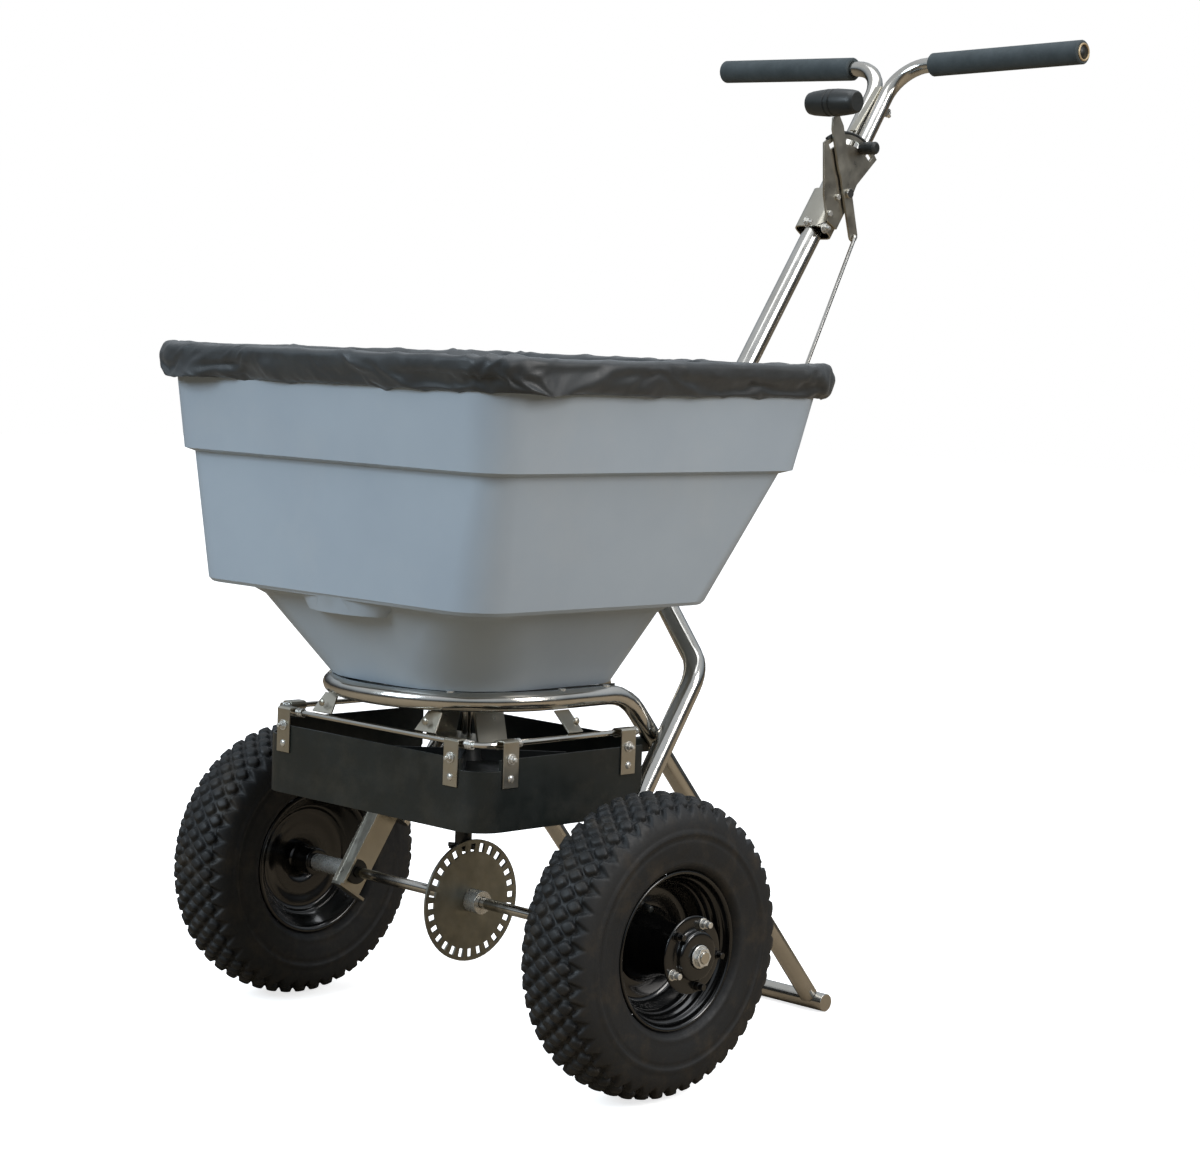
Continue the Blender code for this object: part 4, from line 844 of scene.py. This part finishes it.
def build_handle_fittings():
    """Trim and bolts of the rate quadrant, the clamp's bolts and the stay above it."""
    plate_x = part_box("rate_plate")[1].x
    start, sweep, steps = TRIM_ARC
    trim = []
    for k in range(steps + 1):
        angle = math.radians(start - sweep * k / steps)
        trim.append(at(plate_x - 0.0015, PIVOT[0] + QUADRANT_R * math.cos(angle),
                       PIVOT[1] + QUADRANT_R * math.sin(angle)))
    shown("quadrant_trim", pipe("trim", trim, 0.0024), "black", "frame", "black")
    for k, (y, z) in enumerate(QUADRANT_BOLTS):
        place = facing(at(plate_x, PIVOT[0] + y, PIVOT[1] + z), (1, 0, 0))
        hex_bolt(f"quadrant_bolt_{k}", place, 0.0040, 0.0030, "bright", "frame", "plate")
    sleeve_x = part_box("handle_sleeve")[1].x
    for k, (y, z) in enumerate(SLEEVE_BOLTS):
        place = facing(at(sleeve_x - 0.0004, y, z), (1, 0, 0))
        hex_bolt(f"sleeve_bolt_{k}", place, 0.0050, 0.0036, "bright", "frame", "plate", 0.0066,
                 0.0026)
    place = facing(at(sleeve_x, *SLEEVE_SEAM), (1, 0, 0), (0, -0.28, 1))
    block("sleeve_seam", (0.0220, 0.0012, 0.0008), place, "black", "frame", "black", 0.0002)
    top, foot = at(*STAY_TOP), at(*STAY_FOOT)
    run = foot - top
    place = Matrix.Translation((top + foot) / 2) @ run.to_track_quat("Z", "Y").to_matrix().to_4x4()
    block("handle_stay", (0.0100, 0.0030, run.length), place, "plate", "frame", "plate")
    place = facing(at(*TIE_BOLT), (0, 0.827, -0.562), (1, 0, 0))
    hex_bolt("handle_tie_bolt", place, 0.0050, 0.0036, "bright", "frame", "plate", 0.0066, 0.0024)


def build_fittings():
    build_clip_fittings()
    build_hanger_fittings()
    build_shade_collar()
    build_knob()
    build_grip_ends()
    build_handle_fittings()


# ---------------------------------------------------------------- everything else
PLAIN = {                   # nodes that keep their CAD shape, by look
    "steel": ["axle", "loop_tube", "stand_foot", "handle_bar", "handle_tube_left",
              "handle_tube_right", "side_tube_left", "side_tube_right", "deflector_wire",
              "control_rod", "impeller_shaft", "agitator", "lever_pivot"],
    "bright": ["axle_nut_left", "axle_nut_right", "axle_spacer_left", "axle_spacer_right",
               "gear_hub"],
    "plate": ["axle_bracket_left", "axle_bracket_right", "bearing_plate", "crank_hanger",
              "gate_channel", "gate_crank", "gate_link", "gate_plate", "handle_sleeve",
              "rate_lever", "rate_plate", "shaft_hanger",
              "skirt_clip_front_left", "skirt_clip_front_right", "skirt_clip_left_back",
              "skirt_clip_left_front", "skirt_clip_right_back", "skirt_clip_right_front",
              "wire_hanger_front_left", "wire_hanger_front_right", "wire_hanger_left",
              "wire_hanger_right"],
    "disc": ["gear_disc"],
    "black": ["axle_bush_left", "axle_bush_right", "impeller", "pinion", "rate_stop",
              "shaft_bush"],
    "foam": ["grip_left", "grip_right"],
    "hopper": ["hopper"],
    "skirt": ["deflector_skirt", "deflector_panel"],
}


def build_plain():
    for look, nodes in PLAIN.items():
        for node in nodes:
            refined(node, look, "plate" if look in ("bright", "disc") else look)


# ---------------------------------------------------------------- studio
CAMERA_PLACE = (2.3477, -2.3748, 0.8112)
CAMERA_TURN = (45.03, 5.05, 2.04)   # azimuth from the front, elevation and roll, in degrees
CAMERA_LENS = 84.2
FLOOR_REACH = 14


def build_camera():
    """Seen from the front left at 45 degrees, a little above, tilted 2 degrees."""
    azimuth, elevation, roll = (math.radians(angle) for angle in CAMERA_TURN)
    back = Vector((math.sin(azimuth) * math.cos(elevation),
                   -math.cos(azimuth) * math.cos(elevation), math.sin(elevation)))
    right = Vector((math.cos(azimuth), math.sin(azimuth), 0))
    up = back.cross(right)
    x_axis = right * math.cos(roll) + up * math.sin(roll)
    y_axis = up * math.cos(roll) - right * math.sin(roll)
    data = bpy.data.cameras.new("camera")
    data.lens = CAMERA_LENS
    data.sensor_width = 36
    data.sensor_fit = "HORIZONTAL"
    camera = bpy.data.objects.new("camera", data)
    camera.matrix_world = (Matrix.Translation(CAMERA_PLACE)
                           @ Matrix((x_axis, y_axis, back)).transposed().to_4x4())
    bpy.context.scene.collection.objects.link(camera)
    bpy.context.scene.camera = camera


def area_light(name, place, target, size, power, colour):
    """Rectangular light turned to the target, not seen itself."""
    data = bpy.data.lights.new(name, "AREA")
    data.shape = "RECTANGLE"
    data.size, data.size_y = size
    data.energy = power
    data.color = colour
    light = bpy.data.objects.new(name, data)
    aim = Vector(target) - Vector(place)
    light.matrix_world = (Matrix.Translation(place)
                          @ aim.to_track_quat("-Z", "Y").to_matrix().to_4x4())
    light.visible_camera = False
    bpy.context.scene.collection.objects.link(light)


def build_world():
    """White to the camera; in reflections a blue-white sky over a dark horizon."""
    world = bpy.data.worlds.new("studio")
    bpy.context.scene.world = world
    world.use_nodes = True
    tree = world.node_tree
    tree.nodes.clear()
    output = tree.nodes.new("ShaderNodeOutputWorld")
    chosen = tree.nodes.new("ShaderNodeMixShader")
    path = tree.nodes.new("ShaderNodeLightPath")
    white = tree.nodes.new("ShaderNodeBackground")
    white.inputs["Color"].default_value = (1, 1, 1, 1)
    room = tree.nodes.new("ShaderNodeBackground")
    room.inputs["Strength"].default_value = 0.62
    place = tree.nodes.new("ShaderNodeTexCoord")
    split = tree.nodes.new("ShaderNodeSeparateXYZ")
    ramp = tree.nodes.new("ShaderNodeValToRGB")
    stops = ((0.0, (0.20, 0.16, 0.11)), (0.47, (0.22, 0.18, 0.13)), (0.505, (0.05, 0.05, 0.05)),
             (0.56, (0.12, 0.13, 0.14)), (0.66, (0.62, 0.70, 0.78)), (0.80, (0.95, 1.0, 1.06)),
             (1.0, (1.0, 1.04, 1.10)))
    while len(ramp.color_ramp.elements) < len(stops):
        ramp.color_ramp.elements.new(0.5)
    for element, (position, colour) in zip(ramp.color_ramp.elements, stops):
        element.position = position
        element.color = (*colour, 1)
    height = tree.nodes.new("ShaderNodeMapRange")
    height.inputs["From Min"].default_value = -1
    link = tree.links.new
    link(place.outputs["Generated"], split.inputs["Vector"])
    link(split.outputs["Z"], height.inputs["Value"])
    link(height.outputs["Result"], ramp.inputs["Fac"])
    link(ramp.outputs["Color"], room.inputs["Color"])
    link(path.outputs["Is Camera Ray"], chosen.inputs["Fac"])
    link(room.outputs["Background"], chosen.inputs[1])
    link(white.outputs["Background"], chosen.inputs[2])
    link(chosen.outputs["Shader"], output.inputs["Surface"])


def build_floor():
    """Pale floor, lit up to white for the camera and sand-coloured in reflections."""
    mesh = bpy.data.meshes.new("floor")
    corners = ((-1, -1), (1, -1), (1, 1), (-1, 1))
    mesh.from_pydata([(x * FLOOR_REACH, y * FLOOR_REACH, 0) for x, y in corners], [],
                     [(0, 1, 2, 3)])
    floor = bpy.data.objects.new("floor", mesh)
    bpy.context.scene.collection.objects.link(floor)
    pale = Nodes("pale floor")
    tone = pale.noise(3.0, 2.0)
    colour = pale.mix(pale.spread(tone, 0.3, 0.7), (0.90, 0.90, 0.90, 1), (0.92, 0.92, 0.92, 1))
    pale.join(colour, pale.shader.inputs["Base Color"])
    pale.set(Roughness=1.0, Specular_IOR_Level=0.0, Emission_Color=(1, 1, 1, 1),
             Emission_Strength=0.74)
    sand = pale.add("ShaderNodeBsdfDiffuse")
    sand.inputs["Color"].default_value = (0.30, 0.24, 0.17, 1)
    path = pale.add("ShaderNodeLightPath")
    either = pale.add("ShaderNodeMixShader")
    pale.join(path.outputs["Is Camera Ray"], either.inputs["Fac"])
    pale.join(sand.outputs["BSDF"], either.inputs[1])
    pale.join(pale.shader.outputs["BSDF"], either.inputs[2])
    pale.join(either.outputs["Shader"], pale.tree.nodes["Material Output"].inputs["Surface"])
    floor.data.materials.append(pale.material)
    floor.location.z = -0.0005


def build_studio():
    build_camera()
    build_world()
    build_floor()
    middle = (0, 0, 0.55)
    area_light("front", (-0.8, -3.6, 2.4), middle, (2.0, 1.6), 86, (0.76, 0.89, 1.0))
    area_light("side", (3.4, 0.8, 2.3), middle, (1.4, 1.8), 72, (1.0, 0.965, 0.93))
    area_light("top", (0.3, 0.2, 3.4), middle, (2.6, 2.6), 48, (0.94, 0.97, 1.0))
    bpy.context.scene.view_settings.view_transform = "Standard"


build_wheels()
build_cover()
build_fittings()
build_plain()
build_studio()
